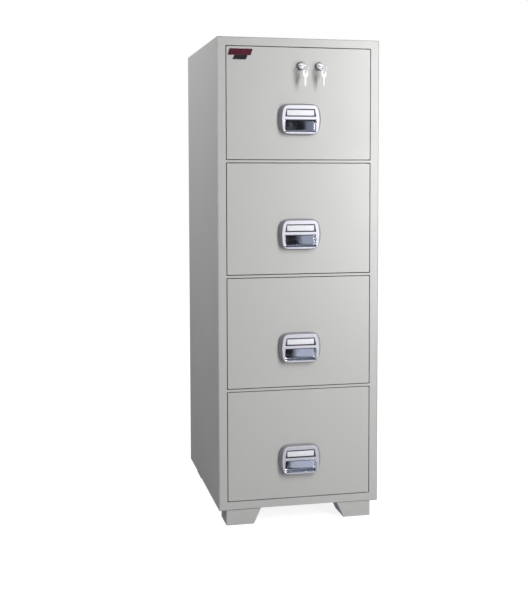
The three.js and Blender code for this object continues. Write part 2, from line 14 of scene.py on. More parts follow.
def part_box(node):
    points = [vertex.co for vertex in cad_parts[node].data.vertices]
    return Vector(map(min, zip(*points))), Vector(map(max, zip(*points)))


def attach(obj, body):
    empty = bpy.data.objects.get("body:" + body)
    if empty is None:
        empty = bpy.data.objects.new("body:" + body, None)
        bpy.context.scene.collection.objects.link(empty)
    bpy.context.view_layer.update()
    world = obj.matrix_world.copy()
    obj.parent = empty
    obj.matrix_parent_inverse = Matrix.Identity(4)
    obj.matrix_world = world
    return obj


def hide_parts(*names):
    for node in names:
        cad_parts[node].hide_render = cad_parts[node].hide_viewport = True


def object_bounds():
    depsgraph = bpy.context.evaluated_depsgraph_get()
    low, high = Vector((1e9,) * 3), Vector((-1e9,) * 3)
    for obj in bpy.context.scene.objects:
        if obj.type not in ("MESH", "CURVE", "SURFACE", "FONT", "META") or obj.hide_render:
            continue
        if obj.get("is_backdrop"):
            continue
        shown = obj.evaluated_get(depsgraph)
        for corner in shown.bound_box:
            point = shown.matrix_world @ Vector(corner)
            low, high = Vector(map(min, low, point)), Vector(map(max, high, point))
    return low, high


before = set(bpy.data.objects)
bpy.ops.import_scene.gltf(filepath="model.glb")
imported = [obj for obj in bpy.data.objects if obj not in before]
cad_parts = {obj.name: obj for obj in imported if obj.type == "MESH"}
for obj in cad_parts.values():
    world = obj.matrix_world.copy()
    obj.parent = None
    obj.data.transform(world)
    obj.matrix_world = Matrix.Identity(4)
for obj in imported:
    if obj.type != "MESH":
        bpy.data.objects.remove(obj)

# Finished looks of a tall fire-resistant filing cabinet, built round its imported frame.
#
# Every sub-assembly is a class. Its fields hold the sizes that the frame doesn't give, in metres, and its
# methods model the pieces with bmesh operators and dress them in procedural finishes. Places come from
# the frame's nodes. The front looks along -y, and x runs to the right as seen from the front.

MM = 0.001
DRAWERS = (1, 2, 3, 4)
LOCKS = (1, 2)
SIDES = ("left", "right")
CABINET = "cabinet"
TOP_DRAWER = "drawer_1"
CLEARANCE = 0.3 * MM
X_AXIS = Vector((1, 0, 0))
Y_AXIS = Vector((0, 1, 0))
Z_AXIS = Vector((0, 0, 1))
WHITE = (1.0, 1.0, 1.0, 1.0)

log = logging.getLogger("cabinet")


class Slot(Enum):
    """The record's material slots."""

    BODY_PAINT = "body_paint"
    INNER_PAINT = "inner_paint"
    ZINC = "zinc_steel"
    SATIN_ALLOY = "satin_alloy"
    CHROME = "chrome_plate"
    NICKEL = "nickel_steel"
    MINERAL = "mineral_fill"
    BADGE = "badge_enamel"


# ---------------------------------------------------------------- shader graphs


class Graph:
    """Adds shader nodes to one node tree and joins them."""

    def __init__(self, tree: bpy.types.NodeTree) -> None:
        """Keeps the tree that the nodes go in.

        Args:
            tree: A material's, the world's or a node group's tree.
        """
        self.tree = tree

    def add(
        self,
        kind: str,
        inputs: dict[Any, Any] | None = None,
        **settings: Any,
    ) -> bpy.types.Node:
        """Adds a node.

        Args:
            kind: The node's Blender type, without its "ShaderNode" prefix where it has one.
            inputs: Input name or index, and a value for it or the socket that feeds it.
            settings: The node's own properties.

        Returns:
            The new node.
        """
        name = kind if kind.startswith("Node") else "ShaderNode" + kind
        node = self.tree.nodes.new(name)
        for key, value in settings.items():
            setattr(node, key, value)
        for key, value in (inputs or {}).items():
            self.feed(node.inputs[key], value)
        return node

    def feed(self, socket: bpy.types.NodeSocket, value: Any) -> None:
        """Sets an input socket, or joins it to the output that feeds it.

        Args:
            socket: The input.
            value: A plain value, or an output socket.
        """
        if isinstance(value, bpy.types.NodeSocket):
            self.tree.links.new(value, socket)
        else:
            socket.default_value = value

    def math(self, operation: str, first: Any, second: Any = 0.0, clamp: bool = False) -> Any:
        """Adds a Math node and returns its result."""
        inputs = {0: first, 1: second}
        return self.add("Math", inputs, operation=operation, use_clamp=clamp).outputs[0]

    def plus(self, first: Any, second: Any) -> Any:
        """Returns the sum of two values."""
        return self.math("ADD", first, second)

    def minus(self, first: Any, second: Any) -> Any:
        """Returns one value less another."""
        return self.math("SUBTRACT", first, second)

    def times(self, first: Any, second: Any) -> Any:
        """Returns the product of two values."""
        return self.math("MULTIPLY", first, second)

    def mix(self, share: Any, first: Any, second: Any, blend: str = "MIX") -> Any:
        """Adds a colour Mix node and returns its colour."""
        inputs = {0: share, 6: first, 7: second}
        return self.add("Mix", inputs, data_type="RGBA", blend_type=blend).outputs[2]

    def ramp(self, value: Any, low: Any, high: Any) -> Any:
        """Maps a value to 0 at low and 1 at high, along a smooth curve."""
        inputs = {"Value": value, "From Min": low, "From Max": high}
        return self.add("MapRange", inputs, interpolation_type="SMOOTHSTEP").outputs[0]

    def object_point(self) -> Any:
        """Adds a Texture Coordinate node and returns the piece's own coordinates."""
        return self.add("TexCoord").outputs["Object"]

    def noise(self, scale: Any, detail: float, point: Any = None, roughness: float = 0.5) -> Any:
        """Adds a Noise Texture and returns its value.

        Args:
            scale: How fine the noise is.
            detail: Its octaves.
            point: Where it is looked up, or nothing for the piece's own coordinates.
            roughness: The weight of its finer octaves.

        Returns:
            The noise's socket.
        """
        point = point or self.object_point()
        inputs = {"Vector": point, "Scale": scale, "Detail": detail, "Roughness": roughness}
        return self.add("TexNoise", inputs).outputs["Fac"]


@dataclass(frozen=True)
class Effect:
    """A surface effect that several finishes share, kept as one shader node group."""

    name: str
    inputs: tuple[tuple[str, str, Any], ...]
    output: tuple[str, str]
    fill: Callable[[Graph, dict[str, Any]], Any]

    def tree(self) -> bpy.types.NodeTree:
        """Makes the group the first time that it is asked for.

        Returns:
            The group.
        """
        made = bpy.data.node_groups.get(self.name)
        if made:
            return made
        tree = bpy.data.node_groups.new(self.name, "ShaderNodeTree")
        for name, kind, value in self.inputs:
            socket = tree.interface.new_socket(name, in_out="INPUT", socket_type=kind)
            socket.default_value = value
        name, kind = self.output
        tree.interface.new_socket(name, in_out="OUTPUT", socket_type=kind)
        graph = Graph(tree)
        entry = graph.add("NodeGroupInput")
        result = self.fill(graph, {given: entry.outputs[given] for given, _, _ in self.inputs})
        graph.add("NodeGroupOutput", {name: result})
        return tree

    def on(self, graph: Graph, **inputs: Any) -> Any:
        """Places the group in a material.

        Args:
            graph: The material's graph.
            inputs: Values for the group's inputs.

        Returns:
            The group's output.
        """
        node = graph.add("Group")
        node.node_tree = self.tree()
        for name, value in inputs.items():
            graph.feed(node.inputs[name], value)
        return node.outputs[0]


def orange_peel(graph: Graph, given: dict[str, Any]) -> Any:
    """Makes the soft bumps of sprayed paint, with a finer stipple on them.

    Args:
        graph: The group's graph.
        given: Its inputs by name.

    Returns:
        The height.
    """
    cell_share, stipple_share, stipple_scale = 0.6, 0.3, 3.1
    point, scale = graph.object_point(), given["Scale"]
    soft = graph.noise(scale, 1.5, point)
    fine = graph.noise(graph.times(scale, stipple_scale), 1.0, point)
    inputs = {"Vector": point, "Scale": scale, "Smoothness": 1.0}
    cells = graph.add("TexVoronoi", inputs, feature="SMOOTH_F1").outputs["Distance"]
    return graph.plus(graph.plus(soft, graph.times(cells, cell_share)), graph.times(fine, stipple_share))


def tone_drift(graph: Graph, given: dict[str, Any]) -> Any:
    """Makes a colour drift slowly in tone, with a little finer mottle.

    Args:
        graph: The group's graph.
        given: Its inputs by name.

    Returns:
        The colour.
    """
    mottle_scale, mottle_share, middle = 14.0, 0.35, 0.5
    point, scale = graph.object_point(), given["Scale"]
    broad = graph.noise(scale, 2.0, point)
    mottle = graph.minus(graph.noise(graph.times(scale, mottle_scale), 3.0, point), middle)
    both = graph.minus(graph.plus(broad, graph.times(mottle, mottle_share)), middle)
    factor = graph.plus(graph.times(both, graph.times(given["Amount"], 2.0)), 1.0)
    shade = graph.add("CombineColor", {0: factor, 1: factor, 2: factor}).outputs[0]
    return graph.mix(1.0, given["Color"], shade, "MULTIPLY")


def edge_mask(graph: Graph, given: dict[str, Any]) -> Any:
    """Finds edges, where a rounded normal leaves the true one, broken up by a fine noise.

    Args:
        graph: The group's graph.
        given: Its inputs by name.

    Returns:
        The mask, white on edges.
    """
    rounded = graph.add("Bevel", {"Radius": given["Radius"]}, samples=4).outputs[0]
    true = graph.add("NewGeometry").outputs["Normal"]
    alike = graph.add("VectorMath", {0: rounded, 1: true}, operation="DOT_PRODUCT").outputs["Value"]
    broken = graph.ramp(graph.noise(given["Break"], 4.0, roughness=0.65), 0.35, 0.65)
    return graph.math("MULTIPLY", graph.ramp(alike, 0.995, 0.80), broken, clamp=True)


def hairlines(graph: Graph, given: dict[str, Any]) -> Any:
    """Makes the fine parallel lines of a brushed or drawn metal.

    Args:
        graph: The group's graph.
        given: Its inputs by name.

    Returns:
        The height.
    """
    coarse_share, fine_share, fine_scale = 0.6, 0.4, 4.3
    point = graph.object_point()
    mapped = graph.add("Mapping", {"Vector": point, "Scale": given["Stretch"]}).outputs[0]
    coarse = graph.times(graph.noise(1.0, 4.0, mapped, 0.6), coarse_share)
    return graph.plus(coarse, graph.times(graph.noise(fine_scale, 3.0, mapped, 0.7), fine_share))


def smudges(graph: Graph, given: dict[str, Any]) -> Any:
    """Makes soft blotches where a polished surface has been handled.

    Args:
        graph: The group's graph.
        given: Its inputs by name.

    Returns:
        The mask.
    """
    bend_scale, bend = 0.4, 0.03
    point, scale = graph.object_point(), given["Scale"]
    bent = graph.add("TexNoise", {"Vector": point, "Scale": graph.times(scale, bend_scale)})
    offset = graph.add("VectorMath", {0: bent.outputs["Color"], 3: bend}, operation="SCALE").outputs[0]
    moved = graph.add("VectorMath", {0: point, 1: offset}, operation="ADD").outputs[0]
    return graph.ramp(graph.noise(scale, 5.0, moved, 0.6), 0.42, 0.7)


def specks(graph: Graph, given: dict[str, Any]) -> Any:
    """Scatters small grains.

    Args:
        graph: The group's graph.
        given: Its inputs by name.

    Returns:
        The mask, white on the grains.
    """
    inputs = {"Vector": graph.object_point(), "Scale": given["Scale"]}
    cells = graph.add("TexVoronoi", inputs).outputs
    dots = graph.ramp(cells["Distance"], 0.22, 0.05)
    return graph.times(dots, graph.ramp(cells["Color"], given["Share"], 1.0))


FLOAT, COLOR, VECTOR = "NodeSocketFloat", "NodeSocketColor", "NodeSocketVector"
HEIGHT, MASK = ("Height", FLOAT), ("Mask", FLOAT)
ORANGE_PEEL = Effect("orange_peel", (("Scale", FLOAT, 600.0),), HEIGHT, orange_peel)
TONE_DRIFT = Effect(
    "tone_drift", (("Color", COLOR, WHITE), ("Scale", FLOAT, 2.0), ("Amount", FLOAT, 0.03)),
    ("Color", COLOR), tone_drift)
EDGE_MASK = Effect(
    "edge_mask", (("Radius", FLOAT, 0.8 * MM), ("Break", FLOAT, 60.0)), MASK, edge_mask)
HAIRLINES = Effect("hairlines", (("Stretch", VECTOR, (20, 900, 900)),), HEIGHT, hairlines)
SMUDGES = Effect("smudges", (("Scale", FLOAT, 30.0),), MASK, smudges)
SPECKS = Effect("specks", (("Scale", FLOAT, 400.0), ("Share", FLOAT, 0.6)), MASK, specks)


# ---------------------------------------------------------------- finishes


@dataclass(frozen=True)
class Finish:
    """A finish that one procedural material gives to many pieces."""

    name: str
    colour: tuple[float, float, float]
    roughness: float

    def material(self) -> bpy.types.Material:
        """Makes the material the first time that it is asked for.

        Returns:
            The material.
        """
        made = bpy.data.materials.get(self.name)
        if made:
            return made
        material = bpy.data.materials.new(self.name)
        material.use_nodes = True
        material.node_tree.nodes.clear()
        material.diffuse_color = self.toned()
        graph = Graph(material.node_tree)
        shader = graph.add("BsdfPrincipled", {"Base Color": self.toned(), "Roughness": self.roughness})
        graph.add("OutputMaterial", {"Surface": shader.outputs[0]})
        self.dress(graph, shader.inputs)
        return material

    def dress(self, graph: Graph, inputs: Any) -> None:
        """Adds what makes this finish. Each kind of finish has its own."""
        raise NotImplementedError

    def toned(self, factor: float = 1.0, lift: float = 0.0) -> tuple[float, ...]:
        """Returns the finish's colour in a lighter or darker tone, with full alpha."""
        return (*(min(1.0, channel * factor + lift) for channel in self.colour), 1.0)

    def drifting(self, graph: Graph, scale: float, amount: float) -> Any:
        """Returns the finish's colour with a slow drift of tone."""
        return TONE_DRIFT.on(graph, Color=self.toned(), Scale=scale, Amount=amount)

    def roughened(self, graph: Graph, mask: Any, swing: float) -> Any:
        """Returns the finish's roughness raised by a mask, by up to swing."""
        return graph.plus(graph.times(mask, swing), self.roughness)

    def bump(self, graph: Graph, inputs: Any, height: Any, depth: float) -> None:
        """Bends the shader's normal by a height of up to depth metres."""
        bent = graph.add("Bump", {"Height": height, "Distance": depth, "Strength": 1.0}).outputs[0]
        graph.feed(inputs["Normal"], bent)


@dataclass(frozen=True)
class Paint(Finish):
    """Sprayed and baked paint on sheet steel, a little thinner and lighter on its edges."""

    peel_scale: float = 520.0
    peel_depth: float = 0.05 * MM
    drift: float = 0.018
    edge_tone: float = 1.08
    edge_share: float = 0.6
    grain_tone: float = 0.86
    grain_share: float = 0.25
    smudge: float = 0.07
    coat: float = 0.12
    coat_roughness: float = 0.22

    def dress(self, graph: Graph, inputs: Any) -> None:
        """Adds the tone drift, lighter edges, uneven gloss and orange peel of the paint.

        Args:
            graph: The material's graph.
            inputs: The shader's input sockets.
        """
        edge = graph.times(EDGE_MASK.on(graph, Radius=0.9 * MM, Break=45.0), self.edge_share)
        grain = graph.times(SPECKS.on(graph, Scale=950.0, Share=0.72), self.grain_share)
        worn = graph.mix(edge, self.drifting(graph, 2.2, self.drift), self.toned(self.edge_tone))
        graph.feed(inputs["Base Color"], graph.mix(grain, worn, self.toned(self.grain_tone)))
        graph.feed(inputs["Roughness"], self.roughened(graph, SMUDGES.on(graph, Scale=9.0), self.smudge))
        inputs["Coat Weight"].default_value = self.coat
        inputs["Coat Roughness"].default_value = self.coat_roughness
        self.bump(graph, inputs, ORANGE_PEEL.on(graph, Scale=self.peel_scale), self.peel_depth)


@dataclass(frozen=True)
class Metal(Finish):
    """Bare or plated metal, with hairlines, handling smudges and brighter edges."""

    stretch: tuple[float, float, float] = (30.0, 900.0, 900.0)
    line_depth: float = 0.01 * MM
    line_gloss: float = 0.4
    smudge: float = 0.10
    smudge_scale: float = 40.0
    edge_tone: float = 1.12
    edge_share: float = 0.35
    metallic: float = 1.0

    def dress(self, graph: Graph, inputs: Any) -> None:
        """Adds the metal's lines, smudges and polished edges.

        Args:
            graph: The material's graph.
            inputs: The shader's input sockets.
        """
        inputs["Metallic"].default_value = self.metallic
        edge = graph.times(EDGE_MASK.on(graph, Radius=0.5 * MM, Break=180.0), self.edge_share)
        shown = graph.mix(edge, self.drifting(graph, 22.0, 0.05), self.toned(self.edge_tone))
        graph.feed(inputs["Base Color"], shown)
        lines = HAIRLINES.on(graph, Stretch=self.stretch)
        handled = SMUDGES.on(graph, Scale=self.smudge_scale)
        scratched = graph.times(lines, self.smudge * self.line_gloss)
        rough = graph.plus(self.roughened(graph, handled, self.smudge), scratched)
        graph.feed(inputs["Roughness"], rough)
        self.bump(graph, inputs, lines, self.line_depth)


@dataclass(frozen=True)
class Mineral(Finish):
    """Cast mineral fill: chalky, pitted and speckled."""

    grain_tone: float = 0.55
    grain_share: float = 0.5
    pit_depth: float = 0.5 * MM

    def dress(self, graph: Graph, inputs: Any) -> None:
        """Adds the fill's grains, pits and uneven tone.

        Args:
            graph: The material's graph.
            inputs: The shader's input sockets.
        """
        grains = graph.times(SPECKS.on(graph, Scale=420.0, Share=0.35), self.grain_share)
        shown = graph.mix(grains, self.drifting(graph, 9.0, 0.10), self.toned(self.grain_tone))
        graph.feed(inputs["Base Color"], shown)
        pits = graph.noise(260.0, 8.0, roughness=0.7)
        graph.feed(inputs["Roughness"], self.roughened(graph, pits, 0.1))
        self.bump(graph, inputs, pits, self.pit_depth)


@dataclass(frozen=True)
class Card(Finish):
    """Card stock: matt, with fibres that show close to."""

    fibre_tone: float = 0.9
    fibre_share: float = 0.3
    fibre_depth: float = 0.02 * MM

    def dress(self, graph: Graph, inputs: Any) -> None:
        """Adds the fibres and a faint unevenness of tone.

        Args:
            graph: The material's graph.
            inputs: The shader's input sockets.
        """
        fibres = HAIRLINES.on(graph, Stretch=(500.0, 500.0, 2600.0))
        share = graph.times(graph.ramp(fibres, 0.52, 0.68), self.fibre_share)
        shown = graph.mix(share, self.drifting(graph, 60.0, 0.015), self.toned(self.fibre_tone))
        graph.feed(inputs["Base Color"], shown)
        graph.feed(inputs["Roughness"], self.roughened(graph, fibres, 0.12))
        self.bump(graph, inputs, fibres, self.fibre_depth)


@dataclass(frozen=True)
class Moulded(Finish):
    """Moulded plastic or rubber with a fine spark-eroded grain and dust in its grain."""

    grain_scale: float = 1500.0
    grain_depth: float = 0.03 * MM
    dust: float = 0.15
    dust_tone: tuple[float, ...] = (0.6, 0.59, 0.57, 1.0)
    opacity: float = 1.0

    def dress(self, graph: Graph, inputs: Any) -> None:
        """Adds the grain, a dusting of pale specks and uneven gloss.

        Args:
            graph: The material's graph.
            inputs: The shader's input sockets.
        """
        dusty = graph.times(SPECKS.on(graph, Scale=700.0, Share=0.7), self.dust)
        shown = graph.mix(dusty, self.drifting(graph, 35.0, 0.06), self.dust_tone)
        graph.feed(inputs["Base Color"], shown)
        graph.feed(inputs["Roughness"], self.roughened(graph, SMUDGES.on(graph, Scale=55.0), 0.12))
        inputs["Alpha"].default_value = self.opacity
        self.bump(graph, inputs, ORANGE_PEEL.on(graph, Scale=self.grain_scale), self.grain_depth)


@dataclass(frozen=True)
class Enamel(Finish):
    """Fired enamel under a clear gloss, uneven in tone and paler on its edges."""

    edge_tone: float = 1.9
    edge_lift: float = 0.02
    coat: float = 0.7
    coat_roughness: float = 0.06
    ripple: float = 0.05 * MM

    def dress(self, graph: Graph, inputs: Any) -> None:
        """Adds the enamel's pooled tone, its gloss and a slow ripple.

        Args:
            graph: The material's graph.
            inputs: The shader's input sockets.
        """
        edge = EDGE_MASK.on(graph, Radius=0.6 * MM, Break=220.0)
        thin = self.toned(self.edge_tone, self.edge_lift)
        graph.feed(inputs["Base Color"], graph.mix(edge, self.drifting(graph, 70.0, 0.22), thin))
        graph.feed(inputs["Roughness"], self.roughened(graph, SMUDGES.on(graph, Scale=60.0), 0.1))
        inputs["Coat Weight"].default_value = self.coat
        inputs["Coat Roughness"].default_value = self.coat_roughness
        self.bump(graph, inputs, graph.noise(330.0, 2.0), self.ripple)


@dataclass(frozen=True)
class Screed(Finish):
    """The studio's pale floor, lifted towards white where it is looked at."""

    lift: float = 0.86
    tooth_depth: float = 0.1 * MM

    def dress(self, graph: Graph, inputs: Any) -> None:
        """Adds a slow drift of tone and a fine tooth.

        Args:
            graph: The material's graph.
            inputs: The shader's input sockets.
        """
        graph.feed(inputs["Base Color"], self.drifting(graph, 0.6, 0.006))
        seen = graph.add("LightPath").outputs["Is Camera Ray"]
        graph.feed(inputs["Emission Strength"], graph.times(seen, self.lift))
        inputs["Emission Color"].default_value = WHITE
        tooth = graph.noise(180.0, 3.0)
        graph.feed(inputs["Roughness"], self.roughened(graph, tooth, 0.1))
        self.bump(graph, inputs, tooth, self.tooth_depth)


# A darker copy of the satin die-cast, put on the bezel's outward flanks as painted shade.
SHADED_SKIRT_ALLOY = Metal(
    "skirt_painted_shade", (0.36, 0.36, 0.39), 0.42, line_depth=0.004 * MM, smudge=0.05, metallic=0.35)
BODY_PAINT = Paint("warm_grey_paint", (0.545, 0.542, 0.530), 0.36)
LINER_PAINT = Paint("liner_paint", (0.50, 0.497, 0.485), 0.42, peel_scale=420.0, drift=0.03)
ZINC = Metal("zinc_plated_steel", (0.60, 0.61, 0.63), 0.30, stretch=(700.0, 25.0, 700.0), smudge=0.16)
SATIN_ALLOY = Metal(
    "satin_die_cast", (0.64, 0.64, 0.70), 0.44, line_depth=0.004 * MM, smudge=0.05, metallic=0.35)
CHROME = Metal("bright_chrome", (0.83, 0.85, 0.90), 0.04, line_depth=0.001 * MM, smudge=0.06, edge_share=0.6)
NICKEL = Metal(
    "nickel_plated_steel", (0.90, 0.90, 0.89), 0.40, stretch=(900.0, 60.0, 900.0), line_depth=0.003 * MM,
    smudge=0.06, metallic=0.6)
RACE_STEEL = Metal("ball_steel", (0.72, 0.73, 0.75), 0.12, smudge=0.05)
LOCK_METAL = Metal("satin_lock_metal", (0.46, 0.45, 0.49), 0.42, line_depth=0.003 * MM, metallic=0.4)
LOCK_RING = Metal("dark_chrome", (0.33, 0.32, 0.34), 0.16, line_depth=0.001 * MM, smudge=0.05)
FILL = Mineral("mineral_fill_cast", (0.62, 0.59, 0.52), 0.88)
LABEL_CARD = Card("label_card", (0.88, 0.88, 0.92), 0.62)
FRAME_PLASTIC = Moulded("label_frame_plastic", (0.014, 0.014, 0.028), 0.45, dust=0.06)
WINDOW = Moulded("clear_window", (0.92, 0.93, 0.96), 0.10, grain_depth=0.0, dust=0.0, opacity=0.08)
SEAL = Moulded("graphite_seal", (0.028, 0.028, 0.030), 0.75, grain_scale=700.0, grain_depth=0.15 * MM)
GLIDE = Moulded("nylon_cage", (0.05, 0.05, 0.055), 0.5)
MAROON = Enamel("maroon_enamel", (0.085, 0.008, 0.018), 0.16)
SLATE = Enamel("slate_enamel", (0.012, 0.013, 0.016), 0.18)
FLOOR = Screed("studio_floor", (0.42, 0.42, 0.42), 0.75)


# ---------------------------------------------------------------- modelling


@dataclass(frozen=True)
class Block:
    """A box in the cabinet's frame."""

    low: Vector
    high: Vector

    @classmethod
    def of(cls, node: str) -> "Block":
        """Returns the box round one of the frame's nodes."""
        return cls(*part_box(node))

    @property
    def centre(self) -> Vector:
        """The middle of the box."""
        return (self.low + self.high) / 2

    @property
    def size(self) -> Vector:
        """The box's length along each axis."""
        return self.high - self.low

    def grown(self, x: float = 0.0, y: float = 0.0, z: float = 0.0) -> "Block":
        """Returns the box with each face moved out by a margin along its axis."""
        margin = Vector((x, y, z))
        return Block(self.low - margin, self.high + margin)


def span(x: Sequence[float], y: Sequence[float], z: Sequence[float]) -> Block:
    """Returns the box between two values on each axis."""
    return Block(Vector((x[0], y[0], z[0])), Vector((x[1], y[1], z[1])))


def add_block(bm: BMesh, block: Block) -> list[BMVert]:
    """Adds a box to a mesh and returns its vertices."""
    place = Matrix.Translation(block.centre) @ Matrix.Diagonal((*block.size, 1.0))
    return bmesh.ops.create_cube(bm, size=1.0, matrix=place)["verts"]


def faces_of(verts: Iterable[BMVert]) -> list[BMFace]:
    """Finds the faces that some vertices bound.

    Args:
        verts: The vertices.

    Returns:
        The faces whose corners are all among them.
    """
    chosen = set(verts)
    faces = {face for vert in chosen for face in vert.link_faces}
    return [face for face in faces if chosen.issuperset(face.verts)]


def sharp_edges(bm: BMesh, least: float = 30.0) -> list[BMEdge]:
    """Returns the edges whose two faces meet at more than an angle in degrees."""
    limit = math.radians(least)
    return [edge for edge in bm.edges if len(edge.link_faces) == 2 and edge.calc_face_angle(0.0) > limit]


def runs_along(edge: BMEdge, axis: Vector) -> bool:
    """Tells whether an edge is parallel to an axis."""
    along = edge.verts[1].co - edge.verts[0].co
    return along.length > 0 and abs(along.normalized().dot(axis)) > 0.999


def along_y(edges: Iterable[BMEdge], least: float = 0.0) -> list[BMEdge]:
    """Returns the edges that run along y and are longer than a length."""
    return [edge for edge in edges if runs_along(edge, Y_AXIS) and edge.calc_length() > least]


def in_plane(edges: Iterable[BMEdge], y: float, near: float = 0.01 * MM) -> list[BMEdge]:
    """Returns the edges that lie in the plane at one y."""
    return [edge for edge in edges if all(abs(vert.co.y - y) < near for vert in edge.verts)]


def soften(edges: Iterable[BMEdge], bm: BMesh, width: float, segments: int = 3) -> None:
    """Rounds edges.

    Args:
        edges: The edges to round.
        bm: Their mesh.
        width: How far each bevel reaches from its edge.
        segments: Facets across each bevel.
    """
    bmesh.ops.bevel(
        bm, geom=list(edges), offset=width, offset_type="OFFSET", segments=segments, profile=0.5,
        affect="EDGES", clamp_overlap=True, material=-1)


def copy_of_node(node: str) -> BMesh:
    """Copies a node's mesh, welded and with each flat side as few faces.

    Args:
        node: The frame's node.

    Returns:
        The copy, which the caller frees or makes a piece of.
    """
    bm = bmesh.new()
    bm.from_mesh(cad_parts[node].data)
    bmesh.ops.remove_doubles(bm, verts=bm.verts, dist=0.005 * MM)
    flat = math.radians(0.6)
    bmesh.ops.dissolve_limit(bm, angle_limit=flat, verts=bm.verts, edges=bm.edges, delimit=set())
    return bm


def turned(bm: BMesh, profile: Sequence[tuple[float, float]], axis_point: Vector, steps: int = 64) -> None:
    """Adds a turned solid whose axis runs along y.

    Args:
        bm: The mesh to add to.
        profile: Radius and y of each corner of its outline, which closes on itself or on the axis.
        axis_point: A point on the axis; its y is added to the profile's.
        steps: Facets round the axis.
    """
    verts = [bm.verts.new(axis_point + Vector((radius, y, 0))) for radius, y in profile]
    edges = [bm.edges.new(pair) for pair in zip(verts, verts[1:])]
    bmesh.ops.spin(
        bm, geom=verts + edges, cent=axis_point, axis=Y_AXIS, angle=2 * math.pi, steps=steps, use_merge=True)
    bmesh.ops.remove_doubles(bm, verts=bm.verts, dist=0.002 * MM)
    bmesh.ops.recalc_face_normals(bm, faces=bm.faces)


def fillet(centre: tuple[float, float], radius: float, start: float, end: float, steps: int = 5) -> list:
    """Returns the points of an arc in a profile.

    Args:
        centre: The arc's centre, as radius and y.
        radius: The arc's own radius.
        start: The first point's angle in degrees, from the radius axis towards y.
        end: The last point's angle.
        steps: Chords along the arc.

    Returns:
        Pairs of radius and y.
    """
    angles = [math.radians(start + (end - start) * step / steps) for step in range(steps + 1)]
    return [(centre[0] + radius * math.cos(angle), centre[1] + radius * math.sin(angle)) for angle in angles]


def arc(centre: tuple[float, float], radius: float, start: float, end: float) -> list[tuple[float, float]]:
    """Returns the points of an arc in a section, by its angles in degrees."""
    return fillet(centre, radius, start, end, 8)


def evenly(line: Sequence[tuple[float, float]], count: int) -> list[tuple[float, float]]:
    """Returns points at even steps along a line of straight pieces.

    Args:
        line: The line's corners.
        count: How many points to return, both ends included.

    Returns:
        The points.
    """
    points = [Vector(point) for point in line]
    lengths = [(end - start).length for start, end in zip(points, points[1:])]
    step, found, index, passed = sum(lengths) / (count - 1), [], 0, 0.0
    for number in range(count):
        while index < len(lengths) - 1 and passed + lengths[index] < step * number:
            passed += lengths[index]
            index += 1
        share = (step * number - passed) / lengths[index]
        found.append(tuple(points[index].lerp(points[index + 1], min(1.0, share))))
    return found


def bare_object(name: str, bm: BMesh) -> bpy.types.Object:
    """Makes an object of a mesh and links it to the scene.

    Args:
        name: The object's name.
        bm: The mesh, freed here.

    Returns:
        The object.
    """
    mesh = bpy.data.meshes.new(name)
    bm.to_mesh(mesh)
    bm.free()
    made = bpy.data.objects.new(name, mesh)
    bpy.context.scene.collection.objects.link(made)
    return made


def carve(solid: BMesh, *tools: BMesh) -> BMesh:
    """Cuts tools out of a solid.

    Args:
        solid: A closed mesh, freed here.
        tools: Closed meshes to take away from it, freed here.

    Returns:
        What is left of the solid.
    """
    target = bare_object("carved", solid)
    cutters = [bare_object("cutter", tool) for tool in tools]
    for cutter in cutters:
        cut = target.modifiers.new("cut", "BOOLEAN")
        cut.operation = "DIFFERENCE"
        cut.solver = "EXACT"
        cut.object = cutter
    bpy.context.view_layer.update()
    rest = bmesh.new()
    rest.from_object(target, bpy.context.evaluated_depsgraph_get())
    for used in (target, *cutters):
        mesh = used.data
        bpy.data.objects.remove(used)
        bpy.data.meshes.remove(mesh)
    return rest


@dataclass
class Piece:
    """One finished piece: its mesh, the body it rides on, and its finish."""

    name: str
    body: str
    finish: Finish
    slot: Slot
    replaces: tuple[str, ...] = ()
    smooth_angle: float = 40.0
    flat_faces: bool = False
    wall: float = 0.0

    def make(self, bm: BMesh) -> bpy.types.Object:
        """Turns a bmesh into the finished piece.

        Args:
            bm: The piece's mesh in the cabinet's frame, freed here.

        Returns:
            The piece's object, riding on its body.
        """
        made = bare_object(self.name, bm)
        mesh = made.data
        mesh.polygons.foreach_set("use_smooth", [True] * len(mesh.polygons))
        mesh.set_sharp_from_angle(angle=math.radians(self.smooth_angle))
        mesh.materials.append(self.finish.material())
        if self.wall:
            thick = made.modifiers.new("sheet", "SOLIDIFY")
            thick.thickness = self.wall
            thick.offset = -1.0
        if self.flat_faces:
            weighted = made.modifiers.new("level_faces", "WEIGHTED_NORMAL")
            weighted.keep_sharp = True
            weighted.weight = 80
        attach(made, self.body)
        if self.replaces:
            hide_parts(*self.replaces)
        log.info("%s: %d faces, rides on %s", self.name, len(mesh.polygons), self.body)
        return made


def dress_node(node: str, finish: Finish) -> None:
    """Gives one of the frame's own nodes a finish.

    Args:
        node: The node's name.
        finish: Its finish.
    """
    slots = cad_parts[node].data.materials
    slots.clear()
    slots.append(finish.material())
    log.info("%s: frame node dressed in %s", node, finish.name)


# ---------------------------------------------------------------- fasteners


def spread(low: float, high: float, count: int) -> list[float]:
    """Returns evenly spaced values from low to high, both included."""
    return [low + (high - low) * step / (count - 1) for step in range(count)]


